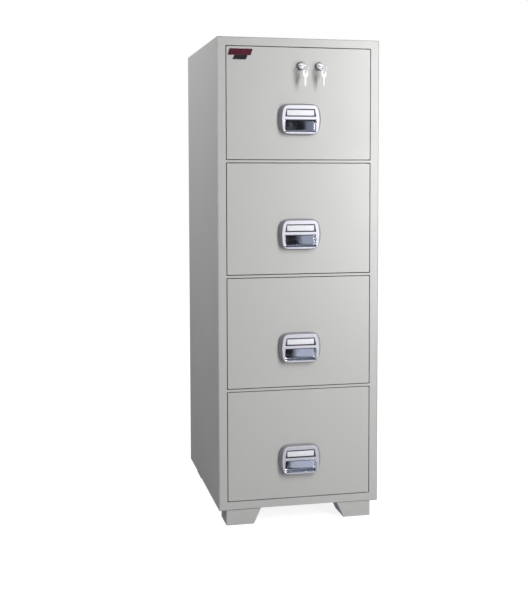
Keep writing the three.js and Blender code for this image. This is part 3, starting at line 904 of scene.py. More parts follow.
@dataclass(frozen=True)
class Screws:
    """Low tapered screw heads that look along y, set round the border of a rectangle."""

    radius: float
    height: float
    columns: int
    rows: int
    sides: int = 14
    taper: float = 0.72
    socket: float = 0.36
    socket_depth: float = 0.6

    def add(self, bm: BMesh, place: Vector) -> None:
        """Adds one head.

        Args:
            bm: The mesh to add to.
            place: The middle of the head's seat.
        """
        turn = Matrix.Rotation(-math.pi / 2, 4, "X")
        middle = Matrix.Translation(place + Y_AXIS * self.height / 2)
        verts = bmesh.ops.create_cone(
            bm, cap_ends=True, segments=self.sides, radius1=self.radius,
            radius2=self.radius * self.taper, depth=self.height, matrix=middle @ turn)["verts"]
        top = max(faces_of(verts), key=lambda face: face.calc_center_median().y)
        bmesh.ops.inset_region(bm, faces=[top], thickness=self.radius * self.socket, depth=0.0)
        bmesh.ops.translate(bm, verts=top.verts, vec=-Y_AXIS * self.height * self.socket_depth)

    def around(self, border: Block, y: float) -> BMesh:
        """Makes all the heads.

        Args:
            border: The box whose sides and ends they stand on.
            y: Where their seats lie.

        Returns:
            The heads' mesh.
        """
        bm = bmesh.new()
        ends = (border.low.z, border.high.z)
        for column, x in enumerate(spread(border.low.x, border.high.x, self.columns)):
            outermost = column in (0, self.columns - 1)
            for z in spread(*ends, self.rows) if outermost else ends:
                self.add(bm, Vector((x, y, z)))
        return bm


# ---------------------------------------------------------------- carcass


@dataclass
class Carcass:
    """The painted body: wrap, front frame, back, base, linings and cast fill."""

    fold_radius: float = 1.6 * MM
    sheet_edge: float = 0.35 * MM
    seam_bevel: float = 0.9 * MM
    opening_corner: float = 3.0 * MM
    opening_roll: float = 1.2 * MM
    frame_fold_least: float = 20 * MM
    liner_corner: float = 4.0 * MM
    liner_fold_least: float = 300 * MM
    rear_border: float = 22 * MM
    rear_step: float = 2.2 * MM
    rear_recess: float = 0.7 * MM
    screws: Screws = Screws(3.2 * MM, 0.5 * MM, columns=4, rows=7, sides=18)
    screw_sink: float = 0.05 * MM

    def build(self) -> None:
        """Builds every piece of the carcass."""
        self.wrap()
        self.front_frame()
        self.rear_sheet()
        self.sheet(copy_of_node("base_panel"), "base_sheet", "base_panel", least=30)
        for number in DRAWERS:
            self.liner(number)
        dress_node("insulation_core", FILL)

    def sheet(self, bm: BMesh, name: str, node: str, least: float = 50.0) -> None:
        """Eases a painted sheet's edges and makes it a piece.

        Args:
            bm: The sheet's mesh.
            name: The finished piece's name.
            node: The frame's node that it stands for.
            least: The smallest turn, in degrees, that counts as an edge.
        """
        soften(sharp_edges(bm, least), bm, self.sheet_edge, 2)
        Piece(name, CABINET, BODY_PAINT, Slot.BODY_PAINT, (node,), flat_faces=True).make(bm)

    def wrap(self) -> None:
        """Builds both sides and the top, with folded corners."""
        bm, whole = copy_of_node("outer_shell"), Block.of("outer_shell")
        near = 0.05 * MM
        folds = [
            edge for edge in along_y(sharp_edges(bm), whole.size.y / 2)
            if abs(abs(edge.verts[0].co.x) - whole.high.x) < near
        ]
        soften(folds, bm, self.fold_radius, 5)
        self.sheet(bm, "body_wrap", "outer_shell")

    def front_frame(self) -> None:
        """Builds the stiles, rails and dividers, rolled in at each opening."""
        bm, whole = copy_of_node("front_frame"), Block.of("front_frame")
        opening_half = Block.of("drawer_front_1").high.x
        folds = along_y(sharp_edges(bm), self.frame_fold_least)
        corners = [edge for edge in folds if abs(edge.verts[0].co.x) > opening_half]
        soften(corners, bm, self.opening_corner, 5)
        front = in_plane(sharp_edges(bm, 50), whole.low.y)
        soften([edge for edge in front if not self.on_rim(edge, whole)], bm, self.opening_roll, 4)
        front = in_plane(sharp_edges(bm, 50), whole.low.y)
        soften([edge for edge in front if self.on_rim(edge, whole)], bm, self.seam_bevel, 2)
        name = "opening_frame"
        Piece(name, CABINET, BODY_PAINT, Slot.BODY_PAINT, ("front_frame",), flat_faces=True).make(bm)

    @staticmethod
    def on_rim(edge: BMEdge, whole: Block) -> bool:
        """Tells whether an edge lies on the outer rim of the front frame.

        Args:
            edge: The edge.
            whole: The frame's box.

        Returns:
            Whether it does.
        """
        near = 0.05 * MM
        return any(
            all(abs(vert.co[axis] - side[axis]) < near for vert in edge.verts)
            for axis in (0, 2) for side in (whole.low, whole.high)
        )

    def rear_sheet(self) -> None:
        """Builds the back panel with its pressed field, and the flush screws round its edge."""
        bm, whole = copy_of_node("back_panel"), Block.of("back_panel")
        rear = [max(bm.faces, key=lambda face: face.calc_center_median().y)]
        bmesh.ops.inset_region(bm, faces=rear, thickness=self.rear_border, depth=0.0)
        bmesh.ops.inset_region(bm, faces=rear, thickness=self.rear_step, depth=0.0)
        bmesh.ops.translate(bm, verts=rear[0].verts, vec=-Y_AXIS * self.rear_recess)
        self.sheet(bm, "rear_sheet", "back_panel")
        border = whole.grown(x=-self.rear_border / 2, z=-self.rear_border / 2)
        heads = self.screws.around(border, whole.high.y - self.screw_sink - self.screws.height)
        Piece("rear_screws", CABINET, ZINC, Slot.BODY_PAINT).make(heads)

    def liner(self, number: int) -> None:
        """Builds one compartment's lining, with rounded corners in its mouth.

        Args:
            number: The compartment's number, from the top.
        """
        node = f"compartment_liner_{number}"
        bm = copy_of_node(node)
        soften(along_y(sharp_edges(bm), self.liner_fold_least), bm, self.liner_corner, 4)
        soften(sharp_edges(bm, 50), bm, self.sheet_edge, 2)
        name = f"compartment_lining_{number}"
        Piece(name, CABINET, LINER_PAINT, Slot.INNER_PAINT, (node,), flat_faces=True).make(bm)


@dataclass
class Feet:
    """Four folded steel feet."""

    fold_radius: float = 1.4 * MM

    def build(self) -> None:
        """Builds each foot from its node."""
        for place in (f"{end}_{side}" for end in ("front", "back") for side in SIDES):
            node = f"foot_{place}"
            bm = copy_of_node(node)
            soften(sharp_edges(bm), bm, self.fold_radius, 4)
            name = f"folded_foot_{place}"
            Piece(name, CABINET, BODY_PAINT, Slot.BODY_PAINT, (node,), flat_faces=True).make(bm)


# ---------------------------------------------------------------- slides


@dataclass
class Slides:
    """The telescopic slides of one drawer: channels, ball races and their cages."""

    number: int
    sheet: float = 1.2 * MM
    fold_radius: float = 0.5 * MM
    ball_radius: float = 1.05 * MM
    ball_pitch: float = 14 * MM
    race_length: float = 200 * MM
    cage_width: float = 4.2 * MM
    cage_thickness: float = 0.5 * MM
    cage_edge: float = 0.12 * MM

    @property
    def moving(self) -> str:
        """The body that the middle members ride on."""
        return f"middle_slides_{self.number}"

    def build(self) -> None:
        """Builds both sides' cabinet and middle members with their balls."""
        for side in SIDES:
            place = f"{self.number}_{side}"
            self.channel(f"cabinet_slide_{place}", f"outer_member_{place}", CABINET)
            self.channel(f"middle_slide_{place}", f"middle_member_{place}", self.moving)
            self.races(place)

    def channel(self, node: str, name: str, body: str) -> None:
        """Builds a channel with rounded folds.

        Args:
            node: The frame's node for it.
            name: The finished piece's name.
            body: The body that it rides on.
        """
        bm = copy_of_node(node)
        soften(along_y(sharp_edges(bm)), bm, self.fold_radius, 3)
        Piece(name, body, ZINC, Slot.ZINC, (node,), flat_faces=True).make(bm)

    def races(self, place: str) -> None:
        """Builds the balls and cages above and below one middle member.

        Args:
            place: The end of the member's node name.
        """
        outer, middle = Block.of(f"cabinet_slide_{place}"), Block.of(f"middle_slide_{place}")
        balls, cages = bmesh.new(), bmesh.new()
        x, half_width, half_thickness = middle.centre.x, self.cage_width / 2, self.cage_thickness / 2
        start = middle.high.y - self.race_length - self.ball_pitch
        along = [start + step * self.ball_pitch for step in range(int(self.race_length / self.ball_pitch))]
        levels = (middle.low.z + outer.low.z + self.sheet, middle.high.z + outer.high.z - self.sheet)
        for z in (level / 2 for level in levels):
            for y in along:
                bmesh.ops.create_icosphere(
                    balls, subdivisions=1, radius=self.ball_radius,
                    matrix=Matrix.Translation((x, y, z)))
            add_block(cages, span(
                (x - half_width, x + half_width),
                (along[0] - self.ball_pitch / 2, along[-1] + self.ball_pitch / 2),
                (z - half_thickness, z + half_thickness)))
        soften(cages.edges, cages, self.cage_edge, 1)
        Piece(f"race_balls_{place}", self.moving, RACE_STEEL, Slot.ZINC, smooth_angle=80).make(balls)
        Piece(f"ball_cages_{place}", self.moving, GLIDE, Slot.ZINC).make(cages)


# ---------------------------------------------------------------- drawers


@dataclass
class Drawer:
    """One drawer: painted front, inner pan with its seal, and the box behind it."""

    number: int
    corner: float = 2.6 * MM
    face_roll: float = 0.8 * MM
    fold_least: float = 20 * MM
    box_edge: float = 0.4 * MM
    flange_depth: float = 26 * MM
    seal_width: float = 11 * MM
    seal_depth: float = 1.5 * MM
    seal_margin: float = 5 * MM
    seal_edge: float = 0.3 * MM
    screws: Screws = Screws(2.8 * MM, 0.9 * MM, columns=5, rows=4)
    screw_margin: float = 5.5 * MM

    @property
    def body(self) -> str:
        """The body that the drawer's pieces ride on."""
        return f"drawer_{self.number}"

    def build(self) -> None:
        """Builds every piece of the drawer."""
        self.front()
        self.box()
        self.seal()
        self.pan_screws()
        dress_node(f"head_insulation_{self.number}", FILL)
        Handle(self.number).build()
        Slides(self.number).build()

    def front(self) -> None:
        """Builds the painted front pan, rounded where it folds back."""
        node = f"drawer_front_{self.number}"
        bm, whole = copy_of_node(node), Block.of(node)
        soften(along_y(sharp_edges(bm), self.fold_least), bm, self.corner, 4)
        face = in_plane(sharp_edges(bm, 50), whole.low.y)
        soften([edge for edge in face if self.near_rim(edge, whole)], bm, self.face_roll, 4)
        name = f"painted_front_{self.number}"
        Piece(name, self.body, BODY_PAINT, Slot.BODY_PAINT, (node,), flat_faces=True).make(bm)

    def near_rim(self, edge: BMEdge, whole: Block) -> bool:
        """Tells whether an edge lies along the outer rim of the front.

        Args:
            edge: The edge.
            whole: The front's box.

        Returns:
            Whether it does.
        """
        middle = (edge.verts[0].co + edge.verts[1].co) / 2
        inside = whole.grown(x=-2 * self.corner, z=-2 * self.corner)
        across = inside.low.x < middle.x < inside.high.x
        return not (across and inside.low.z < middle.z < inside.high.z)

    def box(self) -> None:
        """Builds the inner pan, the open box, its rims and the drawer slide members."""
        node = f"drawer_box_{self.number}"
        bm = copy_of_node(node)
        soften(sharp_edges(bm), bm, self.box_edge, 2)
        name = f"file_box_{self.number}"
        Piece(name, self.body, LINER_PAINT, Slot.INNER_PAINT, (node,), flat_faces=True).make(bm)

    def flange(self, margin: float) -> tuple[Block, float]:
        """Finds the rear of the head's flange.

        Args:
            margin: How far inside the front's edge to stay.

        Returns:
            The front's box less the margin, and the y of the flange's rear.
        """
        front = Block.of(f"drawer_front_{self.number}")
        return front.grown(x=-margin, z=-margin), front.low.y + self.flange_depth

    def seal(self) -> None:
        """Builds the strip of heat seal on the rear of the head's flange."""
        outer, y = self.flange(self.seal_margin)
        bm = bmesh.new()
        sides, levels = (outer.low.x, outer.high.x), (outer.low.z, outer.high.z)
        verts = add_block(bm, span(sides, (y, y + self.seal_depth), levels))
        ends = [face for face in faces_of(verts) if abs(face.normal.y) > 0.9]
        bmesh.ops.inset_individual(bm, faces=ends, thickness=self.seal_width)
        rings = [edge for face in ends for edge in face.edges]
        bmesh.ops.delete(bm, geom=ends, context="FACES_ONLY")
        bmesh.ops.bridge_loops(bm, edges=rings)
        soften(sharp_edges(bm), bm, self.seal_edge, 2)
        name = f"heat_seal_{self.number}"
        Piece(name, self.body, SEAL, Slot.INNER_PAINT, flat_faces=True).make(bm)

    def pan_screws(self) -> None:
        """Builds the screws that hold the inner pan to the front, on the rear of its flange."""
        heads = self.screws.around(*self.flange(self.seal_margin + self.seal_width + self.screw_margin))
        Piece(f"pan_screws_{self.number}", self.body, ZINC, Slot.ZINC).make(heads)


# ---------------------------------------------------------------- handles


@dataclass(frozen=True)
class Outline:
    """A rounded outline that is widest at mid-height and narrows towards its top and bottom."""

    top_half: float
    middle_half: float
    bottom_half: float
    half_height: float
    squareness: float = 5.0

    def point(self, angle: float, inset: float) -> tuple[float, float]:
        """Finds a point of the outline.

        Args:
            angle: The angle round it, from its right.
            inset: How far the outline is moved in.

        Returns:
            The point's x and z from the outline's middle.
        """
        power = 2 / self.squareness
        cosine, sine = math.cos(angle), math.sin(angle)
        across = math.copysign(abs(cosine) ** power, cosine)
        up = math.copysign(abs(sine) ** power, sine)
        end_half = self.top_half if up > 0 else self.bottom_half
        taper = 1 - (1 - end_half / self.middle_half) * up * up
        return (self.middle_half * taper - inset) * across, (self.half_height - inset) * up

    def blend(self, other: "Outline", share: float) -> "Outline":
        """Returns the outline part of the way towards another."""
        pairs = zip(astuple(self), astuple(other))
        return Outline(*(first + (second - first) * share for first, second in pairs))


@dataclass
class Handle:
    """A die-cast bezel with a label window above a bright pressed finger cup.

    Heights count from the middle of the bezel. Depths whose names end in _depth count back from its face,
    and the cup's and the bar's count back from the drawer's painted face.
    """

    number: int
    base: Outline = Outline(59 * MM, 67 * MM, 55 * MM, 48 * MM)
    face: Outline = Outline(51 * MM, 59.5 * MM, 52.5 * MM, 44 * MM, 9.0)
    stand_off: float = 19 * MM
    face_wall: float = 5 * MM
    side_wall: float = 3 * MM
    face_fillet: float = 2.4 * MM
    face_roll: float = 0.7 * MM
    flare_steps: int = 10
    fillet_steps: int = 5
    ring_steps: int = 128
    overcut: float = 1 * MM
    window_low: float = 8 * MM
    window_high: float = 32 * MM
    window_bottom_half: float = 48.7 * MM
    window_top_half: float = 44.3 * MM
    window_corner: float = 2.0 * MM
    window_depth: float = 3 * MM
    frame_gap: float = 0.15 * MM
    frame_corner: float = 1.9 * MM
    frame_edge: float = 0.35 * MM
    frame_depth: float = 0.7 * MM
    opening_depth: float = 2.2 * MM
    card_half: float = 42.4 * MM
    card_low: float = 11.6 * MM
    card_high: float = 28.6 * MM
    cup_half: float = 48.8 * MM
    cup_top: float = -1 * MM
    cup_height: float = 36 * MM
    cup_sheet: float = 1.2 * MM
    cup_corner: float = 3.0 * MM
    cup_mouth: float = -18.7 * MM
    cup_lip: float = 3 * MM
    cup_behind: float = 8.8 * MM
    cup_bend: float = 6 * MM
    cup_bow: float = 0.039
    cup_squareness: float = 20.0
    cup_draw: float = 1.25
    cup_columns: int = 96
    cup_rows: int = 72
    bar_back: float = -13.7 * MM
    bar_bend: float = 2 * MM
    finger_rise: float = 12 * MM
    strip_height: float = 1.9 * MM
    strip_end_gap: float = 0.6 * MM
    strip_front_gap: float = 0.5 * MM
    strip_top_gap: float = 0.02 * MM
    strip_edge: float = 0.4 * MM
    centre: Vector = field(init=False)
    front: float = field(init=False)
    rear: float = field(init=False)

    def __post_init__(self) -> None:
        """Takes the handle's place from its node."""
        block = Block.of(f"handle_bezel_{self.number}")
        self.centre = block.centre
        self.front, self.rear = block.low.y, block.high.y

    @property
    def body(self) -> str:
        """The body that the handle rides on."""
        return f"drawer_{self.number}"

    @property
    def painted_face(self) -> float:
        """The y of the drawer's painted face."""
        return self.front + self.stand_off

    def build(self) -> None:
        """Builds every piece of the handle."""
        self.bezel()
        self.painted_shade_strip()
        self.cup()
        self.label_frame()
        self.insert("label_card", LABEL_CARD, 0.2 * MM, (1.8 * MM, 2.15 * MM), 0.1 * MM)
        self.insert("label_window", WINDOW, 0.1 * MM, (1.0 * MM, 1.6 * MM), 0.15 * MM)

    def skin(self, inset: float, back: float, front: float) -> BMesh:
        """Lofts the bezel's flared body.

        Args:
            inset: How far the skin lies inside the bezel's outer skin.
            back: The y of its rear end.
            front: The y of its face.

        Returns:
            A closed mesh.
        """
        rings, fillet_radius = [], self.face_fillet
        for rise in spread(0.0, 1.0, self.flare_steps + 1):
            flare = 1 - math.cos(rise * math.pi / 2)
            y = back + (front + fillet_radius - back) * rise
            rings.append((self.base.blend(self.face, flare), inset, y))
        for turn in spread(0.0, math.pi / 2, self.fillet_steps + 1)[1:]:
            extra = fillet_radius * (1 - math.cos(turn))
            rings.append((self.face, inset + extra, front + fillet_radius * (1 - math.sin(turn))))
        bm = bmesh.new()
        last: list[BMEdge] = []
        for outline, margin, y in rings:
            verts = bmesh.ops.create_circle(
                bm, cap_ends=False, segments=self.ring_steps, radius=1.0)["verts"]
            for index, vert in enumerate(verts):
                x, z = outline.point(2 * math.pi * index / self.ring_steps, margin)
                vert.co = (self.centre.x + x, y, self.centre.z + z)
            edges = list({edge for vert in verts for edge in vert.link_edges})
            if last:
                bmesh.ops.bridge_loops(bm, edges=last + edges)
            last = edges
        bmesh.ops.holes_fill(bm, edges=bm.edges, sides=0)
        bmesh.ops.recalc_face_normals(bm, faces=bm.faces)
        return bm

    def prism(
        self, heights: Sequence[float], halves: Sequence[float], y: Sequence[float], corner: float = 0.0
    ) -> BMesh:
        """Makes a closed prism with a trapezoid outline.

        Args:
            heights: Its lower and upper end.
            halves: Half its width at each.
            y: Its front and rear.
            corner: The rounding of its four edges along y.

        Returns:
            The prism's mesh.
        """
        bm = bmesh.new()
        low, high = (self.centre.z + height for height in heights)
        for vert in add_block(bm, span((-1, 1), y, (low, high))):
            half = halves[1] if vert.co.z > (low + high) / 2 else halves[0]
            vert.co.x = self.centre.x + math.copysign(half, vert.co.x)
        if corner:
            soften(along_y(bm.edges), bm, corner, 4)
        return bm

    def bezel(self) -> None:
        """Builds the die-cast bezel, hollow behind, with the window's recess and the cup's mouth."""
        body = self.skin(0.0, self.rear, self.front)
        hollow = self.skin(self.side_wall, self.rear + self.overcut, self.front + self.face_wall)
        over = self.front - self.overcut
        recess = self.prism(
            (self.window_low, self.window_high), (self.window_bottom_half, self.window_top_half),
            (over, self.front + self.window_depth), self.window_corner)
        reveal = self.cup_sheet + CLEARANCE
        half, lip = self.cup_half + reveal, self.cup_top - self.cup_height
        mouth = self.prism(
            (lip - reveal, self.cup_top + reveal), (half, half), (over, self.rear + self.overcut))
        middle = self.centre.z + self.cup_top - self.cup_height / 2
        lower = [edge for edge in along_y(mouth.edges) if edge.verts[0].co.z < middle]
        soften(lower, mouth, self.cup_corner, 4)
        bm = carve(body, hollow, recess, mouth)
        soften(in_plane(sharp_edges(bm, 60), self.front, 0.02 * MM), bm, self.face_roll, 3)
        name = f"cast_bezel_{self.number}"
        replaced = (f"handle_bezel_{self.number}",)
        piece = Piece(name, self.body, SATIN_ALLOY, Slot.SATIN_ALLOY, replaced, flat_faces=True)
        self.paint_skirt_shade(piece.make(bm).data)

    def paint_skirt_shade(self, mesh: bpy.types.Mesh) -> None:
        """Gives the bezel's outward flanks a darker copy of its finish, as painted shade.

        Args:
            mesh: The bezel's mesh.
        """
        facing_least = 0.8
        # Painted shade: the outward flanks take the darker copy of the die-cast.
        mesh.materials.append(SHADED_SKIRT_ALLOY.material())
        for side in mesh.polygons:
            outward = side.center - self.centre
            leaves = outward.x * side.normal.x + outward.z * side.normal.z > 0
            if leaves and abs(side.normal.y) < facing_least:
                side.material_index = 1

    def painted_shade_strip(self) -> None:
        """Builds a dark strip under the bar, as painted shade where the gap under the bar falls dark."""
        half, top = self.cup_half - self.strip_end_gap, self.cup_top - self.strip_top_gap
        y = (self.painted_face + self.cup_mouth + self.strip_front_gap,
             self.painted_face + self.bar_back + self.bar_bend)
        bm = self.prism((top - self.strip_height, top), (half, half), y)
        soften(bm.edges, bm, self.strip_edge, 2)
        # Dark graphite finish here is painted shade in the gap under the bar.
        name = f"painted_shade_strip_{self.number}"
        Piece(name, self.body, SEAL, Slot.SATIN_ALLOY, flat_faces=True).make(bm)

    def scoop_line(self) -> list[tuple[float, float]]:
        """Draws the cup's section, from the lower edge of its mouth round to the upper.

        Returns:
            Points as depth behind the painted face, and height.
        """
        lip, rise = self.cup_top - self.cup_height, self.cup_top + self.finger_rise
        mouth, back, bend = self.cup_mouth, self.cup_behind, self.cup_bend
        bar, round_bar = self.bar_back, self.bar_bend
        return [
            (mouth, lip), (mouth + self.cup_lip, lip),
            *arc((back - bend, lip + bend), bend, -90, 0),
            *arc((back - bend, rise - bend), bend, 0, 90),
            (bar, rise), (bar, self.cup_top + round_bar),
            *arc((bar - round_bar, self.cup_top + round_bar), round_bar, 0, -90),
            (mouth, self.cup_top),
        ]

    def cup(self) -> None:
        """Builds the pressed cup: its section swept across, bowed a little, and drawn in at both ends."""
        lip, mouth = self.cup_top - self.cup_height, self.cup_mouth
        line = evenly(self.scoop_line(), self.cup_rows + 1)
        bm = bmesh.new()
        bmesh.ops.create_grid(bm, x_segments=self.cup_columns, y_segments=self.cup_rows, size=1.0)
        for vert in bm.verts:
            across = math.sin(math.pi / 2 * math.sin(math.pi / 2 * vert.co.x))
            row = round((vert.co.y + 1) / 2 * self.cup_rows)
            square = max(0.0, 1 - abs(across) ** self.cup_squareness) ** (1 / self.cup_squareness)
            fullness = square * (1 - self.cup_bow * across * across)
            y, z = line[row]
            mouth_z = lip + self.cup_height * row / self.cup_rows
            vert.co = (
                self.centre.x + self.cup_half * across,
                self.painted_face + mouth + (y - mouth) * fullness,
                self.centre.z + mouth_z + (z - mouth_z) * min(1.0, fullness * self.cup_draw),
            )
        bmesh.ops.remove_doubles(bm, verts=bm.verts, dist=0.01 * MM)
        bmesh.ops.recalc_face_normals(bm, faces=bm.faces)
        back_z = self.centre.z - self.cup_height / 2
        heart = Vector((self.centre.x, self.painted_face + self.cup_behind, back_z))
        middle = min(bm.faces, key=lambda face: (face.calc_center_median() - heart).length)
        if middle.normal.y > 0:
            bmesh.ops.reverse_faces(bm, faces=bm.faces)
        name = f"pressed_cup_{self.number}"
        replaced = (f"handle_cup_{self.number}",)
        Piece(
            name, self.body, CHROME, Slot.CHROME, replaced, smooth_angle=60, wall=self.cup_sheet).make(bm)

    def label_frame(self) -> None:
        """Builds the dark frame in the recess, open round the card."""
        gap, face = self.frame_gap, self.front + self.frame_depth
        plate = self.prism(
            (self.window_low + gap, self.window_high - gap),
            (self.window_bottom_half - gap, self.window_top_half - gap),
            (face, self.front + self.window_depth - gap), self.frame_corner)
        opening = self.prism(
            (self.card_low, self.card_high), (self.card_half, self.card_half),
            (self.front - self.overcut, self.front + self.opening_depth))
        bm = carve(plate, opening)
        soften(in_plane(sharp_edges(bm, 60), face, 0.02 * MM), bm, self.frame_edge, 2)
        Piece(f"label_frame_{self.number}", self.body, FRAME_PLASTIC, Slot.SATIN_ALLOY).make(bm)

    def insert(
        self, kind: str, finish: Finish, gap: float, depths: Sequence[float], edge: float
    ) -> None:
        """Builds a blank rectangle that lies in the label frame's opening.

        Args:
            kind: The start of the piece's name.
            finish: Its finish.
            gap: The slack round it.
            depths: How far its front and rear lie behind the bezel's face.
            edge: The rounding of its edges.
        """
        half = self.card_half - gap
        bm = self.prism(
            (self.card_low + gap, self.card_high - gap), (half, half),
            [self.front + depth for depth in depths])
        soften(bm.edges, bm, edge, 2)
        Piece(f"{kind}_{self.number}", self.body, finish, Slot.SATIN_ALLOY).make(bm)


# ---------------------------------------------------------------- locks and keys


@dataclass
class Lock:
    """A flanged cam lock with its key, and a split ring that carries a second key."""

    number: int
    flange_radius: float = 12.5 * MM
    ring_width: float = 2.3 * MM
    ring_crown: float = 1.3 * MM
    ring_lip: float = 0.5 * MM
    ring_front: float = 0.7 * MM
    groove_front: float = 5.2 * MM
    groove_length: float = 1.0 * MM
    groove_slope: float = 0.3 * MM
    groove_depth: float = 0.4 * MM
    seat: float = 8.7 * MM
    neck_radius: float = 9.5 * MM
    neck_front: float = 4 * MM
    bore: float = 6.8 * MM
    dish: float = 1.3 * MM
    dish_rim: float = 1.0 * MM
    rim_width: float = 1.2 * MM
    chamfer: float = 0.4 * MM
    gap: float = 0.1 * MM
    turn_steps: int = 72
    plug_edge: float = 0.25 * MM
    key_edge: float = 0.3 * MM
    wire: float = 0.45 * MM
    wire_gap: float = 0.03 * MM
    ring_yaw: float = math.radians(50)
    seam: float = math.radians(230)
    coil_inset: float = 0.85 * MM
    coils: int = 2
    steps_per_coil: int = 48

    def build(self) -> None:
        """Builds every piece of the lock."""
        number, hanging = self.number, f"hanging_key_{self.number}"
        self.barrel()
        self.eased(f"lock_plug_{number}", f"turning_plug_{number}", f"lock_{number}", self.plug_edge)
        self.eased(f"lock_key_{number}", f"turned_key_{number}", f"lock_{number}", self.key_edge)
        self.eased(f"spare_key_{number}", hanging, hanging, self.key_edge)
        self.split_ring()

    def barrel(self) -> None:
        """Builds the flanged barrel: a dark polished collar round a dished satin face."""
        block = Block.of(f"lock_barrel_{self.number}")
        place = Vector((block.centre.x, block.low.y, block.centre.z))
        outer, crown, lip, deep = self.flange_radius, self.ring_crown, self.ring_lip, block.size.y
        face, neck, neck_front = outer - self.ring_width, self.neck_radius, self.neck_front
        start, end = self.groove_front, self.groove_front + self.groove_length
        bottom, slope = outer - self.groove_depth, self.groove_slope
        collar = bmesh.new()
        turned(collar, [
            (face, neck_front), (face, self.ring_front), *fillet((face + lip, lip), lip, 180, 270),
            *fillet((outer - crown, crown), crown, 270, 360),
            (outer, start), (bottom, start + slope), (bottom, end - slope), (outer, end),
            (outer, self.seat), (neck, self.seat), (neck, neck_front), (face, neck_front),
        ], place, self.turn_steps)
        name = f"lock_collar_{self.number}"
        replaced = (f"lock_barrel_{self.number}",)
        finishing = {"smooth_angle": 35, "flat_faces": True}
        Piece(name, TOP_DRAWER, LOCK_RING, Slot.CHROME, replaced, **finishing).make(collar)
        bore, dish, rim, gap, chamfer = self.bore, self.dish, self.dish_rim, self.gap, self.chamfer
        core = bmesh.new()
        turned(core, [
            (bore, deep), (bore, dish + chamfer), (bore + chamfer, dish),
            (face - 2 * gap - self.rim_width, rim), (face - 2 * gap, rim + chamfer),
            (face - gap, neck_front - gap), (neck - gap, neck_front + gap), (neck - gap, deep),
            (bore, deep),
        ], place, self.turn_steps)
        Piece(f"lock_core_{self.number}", TOP_DRAWER, LOCK_METAL, Slot.CHROME, **finishing).make(core)

    @staticmethod
    def eased(node: str, name: str, body: str, edge: float) -> None:
        """Builds a plug or a flat key from its node, with eased edges.

        Args:
            node: The frame's node for it.
            name: The finished piece's name.
            body: The body that it rides on.
            edge: The rounding of its edges.
        """
        bm = copy_of_node(node)
        soften(sharp_edges(bm, 50), bm, edge, 2)
        Piece(name, body, NICKEL, Slot.NICKEL, (node,), flat_faces=True).make(bm)

    def split_ring(self) -> None:
        """Builds the ring as two coils of round wire that lie side by side."""
        block = Block.of(f"key_ring_{self.number}")
        radius = block.size.z / 2 - self.coil_inset
        steps = self.steps_per_coil * self.coils
        plane_turn = Matrix.Rotation(self.ring_yaw, 4, "Z")
        axis = plane_turn @ X_AXIS
        travel = axis * (2 * self.wire + self.wire_gap) * self.coils
        to_seam = Matrix.Translation(block.centre - travel / 2) @ Matrix.Rotation(self.seam, 4, axis)
        upright = Matrix.Translation(Z_AXIS * radius) @ plane_turn @ Matrix.Rotation(math.pi / 2, 4, "X")
        bm = bmesh.new()
        verts = bmesh.ops.create_circle(
            bm, cap_ends=True, segments=10, radius=self.wire, matrix=to_seam @ upright)["verts"]
        section = [*verts, *{edge for vert in verts for edge in vert.link_edges}, *faces_of(verts)]
        bmesh.ops.spin(
            bm, geom=section, cent=block.centre, axis=axis, dvec=travel / steps,
            angle=2 * math.pi * self.coils, steps=steps, use_merge=False)
        bmesh.ops.recalc_face_normals(bm, faces=bm.faces)
        name = f"split_ring_{self.number}"
        replaced = (f"key_ring_{self.number}",)
        Piece(name, f"hanging_key_{self.number}", NICKEL, Slot.NICKEL, replaced, smooth_angle=80).make(bm)


# ---------------------------------------------------------------- badge


@dataclass
class Badge:
    """A small enamelled plate with a maroon bar over a shorter slate one, and no lettering."""

    lean: float = 6 * MM
    bar_share: float = 0.60
    bar_gap: float = 0.3 * MM
    low_inset: float = 15 * MM
    corner: float = 1.6 * MM
    face_roll: float = 0.5 * MM

    def build(self) -> None:
        """Builds both bars of the badge."""
        block = Block.of("badge_plate")
        split = block.high.z - block.size.z * self.bar_share
        inset, replaced = self.low_inset, ("badge_plate",)
        upper = self.bar(block, block.low.x, block.high.x, split, block.high.z)
        Piece("badge_upper_bar", TOP_DRAWER, MAROON, Slot.BADGE, replaced, flat_faces=True).make(upper)
        lower = self.bar(
            block, block.low.x + inset, block.high.x - inset, block.low.z, split - self.bar_gap)
        Piece("badge_lower_bar", TOP_DRAWER, SLATE, Slot.BADGE, flat_faces=True).make(lower)

    def bar(self, block: Block, left: float, right: float, low: float, high: float) -> BMesh:
        """Makes one slanted bar with rounded ends and a soft face.

        Args:
            block: The badge's box, for the bar's depth.
            left: The bar's left end.
            right: Its right end.
            low: Its lower side.
            high: Its upper side.

        Returns:
            The bar's mesh.
        """
        bm = bmesh.new()
        for vert in add_block(bm, span((left, right), (block.low.y, block.high.y), (low, high))):
            upper, on_left = vert.co.z > (low + high) / 2, vert.co.x < (left + right) / 2
            if upper and on_left:
                vert.co.x += self.lean
            elif not upper and not on_left:
                vert.co.x -= self.lean
        soften(along_y(bm.edges), bm, self.corner, 4)
        middle = block.centre.y
        front = [edge for edge in sharp_edges(bm, 50) if all(vert.co.y < middle for vert in edge.verts)]
        soften(front, bm, self.face_roll, 3)
        return bm


# ---------------------------------------------------------------- studio


@dataclass(frozen=True)
class Softbox:
    """A rectangular light that looks at the middle of the cabinet."""

    name: str
    place: tuple[float, float, float]
    power: float
    size: tuple[float, float]

    def build(self) -> None:
        """Adds the light."""
        data = bpy.data.lights.new(self.name, "AREA")
        data.energy = self.power
        data.shape = "RECTANGLE"
        data.size, data.size_y = self.size
        light = bpy.data.objects.new(self.name, data)
        bpy.context.scene.collection.objects.link(light)
        low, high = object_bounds()
        light.location = self.place
        light.rotation_mode = "QUATERNION"
        aim = (low + high) / 2 - Vector(self.place)
        light.rotation_quaternion = aim.to_track_quat("-Z", "Y")


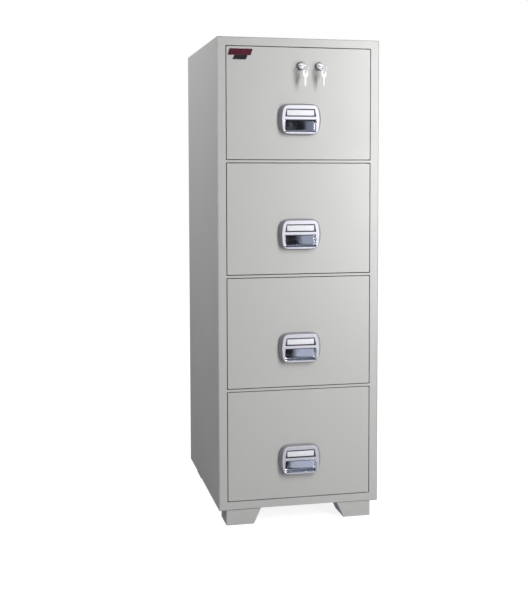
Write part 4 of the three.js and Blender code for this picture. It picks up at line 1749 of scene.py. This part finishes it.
@dataclass(frozen=True)
class Room:
    """The tones of the room, by the heading and height of a ray that leaves the cabinet.

    A heading is in radians from the cabinet's front towards its right, and a height is the sine of an
    angle above the horizon.
    """

    ambient_low: tuple[float, ...] = (0.20, 0.20, 0.195, 1.0)
    ambient_high: tuple[float, ...] = (0.42, 0.42, 0.43, 1.0)
    behind_low: tuple[float, ...] = (0.07, 0.075, 0.085, 1.0)
    behind_high: tuple[float, ...] = (0.42, 0.42, 0.44, 1.0)
    pale_left: tuple[float, ...] = (0.60, 0.62, 0.68, 1.0)
    steel_low: tuple[float, ...] = (0.44, 0.47, 0.57, 1.0)
    steel_high: tuple[float, ...] = (0.19, 0.21, 0.26, 1.0)
    opening: tuple[float, ...] = (0.012, 0.012, 0.015, 1.0)
    bright_right: tuple[float, ...] = (0.95, 0.96, 1.0, 1.0)
    overhead: tuple[float, ...] = (0.45, 0.46, 0.50, 1.0)
    opening_start: float = 0.192
    opening_slant: float = 0.25
    opening_middle: float = 0.044

    def ambient(self, graph: Graph, height: Any) -> Any:
        """Returns the light that falls on rough surfaces."""
        return graph.mix(graph.ramp(height, -0.1, 0.9), self.ambient_low, self.ambient_high)

    def mirrored(self, graph: Graph, heading: Any, height: Any) -> Any:
        """Returns the tones that polished metal mirrors, with a dark opening at the front right.

        Args:
            graph: The world's graph.
            heading: The ray's heading.
            height: Its height.

        Returns:
            The colour's socket.
        """
        behind = graph.mix(graph.ramp(height, -0.3, 0.25), self.behind_low, self.behind_high)
        steel = graph.mix(graph.ramp(height, -0.15, 0.06), self.steel_low, self.steel_high)
        front_left = graph.mix(graph.ramp(heading, -0.45, 0.05), self.pale_left, steel)
        room = graph.mix(graph.ramp(heading, -0.85, -0.45), behind, front_left)
        tilt = graph.math("ABSOLUTE", graph.minus(height, self.opening_middle))
        border = graph.plus(graph.times(tilt, self.opening_slant), self.opening_start)
        sides = graph.times(
            graph.ramp(graph.minus(heading, border), 0.0, 0.014), graph.ramp(heading, 1.15, 0.95))
        ends = graph.times(graph.ramp(height, -0.5, -0.42), graph.ramp(height, 0.62, 0.52))
        shaded = graph.mix(graph.times(sides, ends), room, self.opening)
        right = graph.times(graph.ramp(heading, 1.0, 1.2), graph.ramp(heading, 2.6, 2.2))
        sided = graph.mix(right, shaded, self.bright_right)
        return graph.mix(graph.ramp(height, 0.55, 0.8), sided, self.overhead)

    def build(self) -> None:
        """Sets the world: white where it is seen, and the room's tones for light and reflections."""
        world = bpy.data.worlds.new("studio_surroundings")
        bpy.context.scene.world = world
        world.use_nodes = True
        world.node_tree.nodes.clear()
        graph = Graph(world.node_tree)
        direction = graph.add("TexCoord").outputs["Generated"]
        x, y, height = graph.add("SeparateXYZ", {0: direction}).outputs
        heading = graph.math("ARCTAN2", x, graph.times(y, -1.0))
        path = graph.add("LightPath").outputs
        mirrored = self.mirrored(graph, heading, height)
        lit = graph.mix(path["Is Glossy Ray"], self.ambient(graph, height), mirrored)
        seen = graph.mix(path["Is Camera Ray"], lit, WHITE)
        background = graph.add("Background", {"Color": seen, "Strength": 1.0})
        graph.add("OutputWorld", {"Surface": background.outputs[0]})


@dataclass
class Studio:
    """Pale floor, soft light and one camera."""

    floor_half: float = 9.0
    camera_place: tuple[float, float, float] = (-0.7816, -3.5815, 1.083)
    camera_yaw: float = 13.431
    camera_pitch: float = 4.117
    lens: float = 66.17
    shift: tuple[float, float] = (-0.06, -0.08)

    def build(self) -> None:
        """Builds the floor, the lights, the surroundings and the camera."""
        self.floor()
        Softbox("key_light", (0.92, -1.87, 1.34), 33.5, (0.5, 1.9)).build()
        Softbox("fill_light", (-1.6, 0.35, 2.25), 19.0, (1.0, 1.0)).build()
        Room().build()
        self.camera()
        bpy.context.scene.view_settings.view_transform = "Standard"

    def floor(self) -> None:
        """Builds the floor, which polished pieces don't mirror."""
        bm = bmesh.new()
        bmesh.ops.create_grid(bm, x_segments=4, y_segments=4, size=self.floor_half)
        made = bare_object("studio_floor_plane", bm)
        made.data.materials.append(FLOOR.material())
        made.visible_glossy = False
        made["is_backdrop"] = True

    def camera(self) -> None:
        """Adds the camera and makes it the scene's."""
        data = bpy.data.cameras.new("camera")
        data.lens = self.lens
        data.shift_x, data.shift_y = self.shift
        camera = bpy.data.objects.new("camera", data)
        bpy.context.scene.collection.objects.link(camera)
        camera.location = self.camera_place
        camera.rotation_euler = (math.radians(90 - self.camera_pitch), 0.0, math.radians(-self.camera_yaw))
        bpy.context.scene.camera = camera


# ---------------------------------------------------------------- everything


def corners(bounds: Iterable[Vector]) -> list[list[float]]:
    """Returns a box's two corners as plain lists."""
    return [list(corner) for corner in bounds]


def main() -> None:
    """Builds the cabinet and its studio."""
    logging.basicConfig(level=logging.INFO, format="%(name)s: %(message)s")
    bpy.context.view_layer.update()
    Studio().build()
    Carcass().build()
    Feet().build()
    for number in DRAWERS:
        Drawer(number).build()
    for number in LOCKS:
        Lock(number).build()
    Badge().build()


if __name__ == "__main__":
    main()
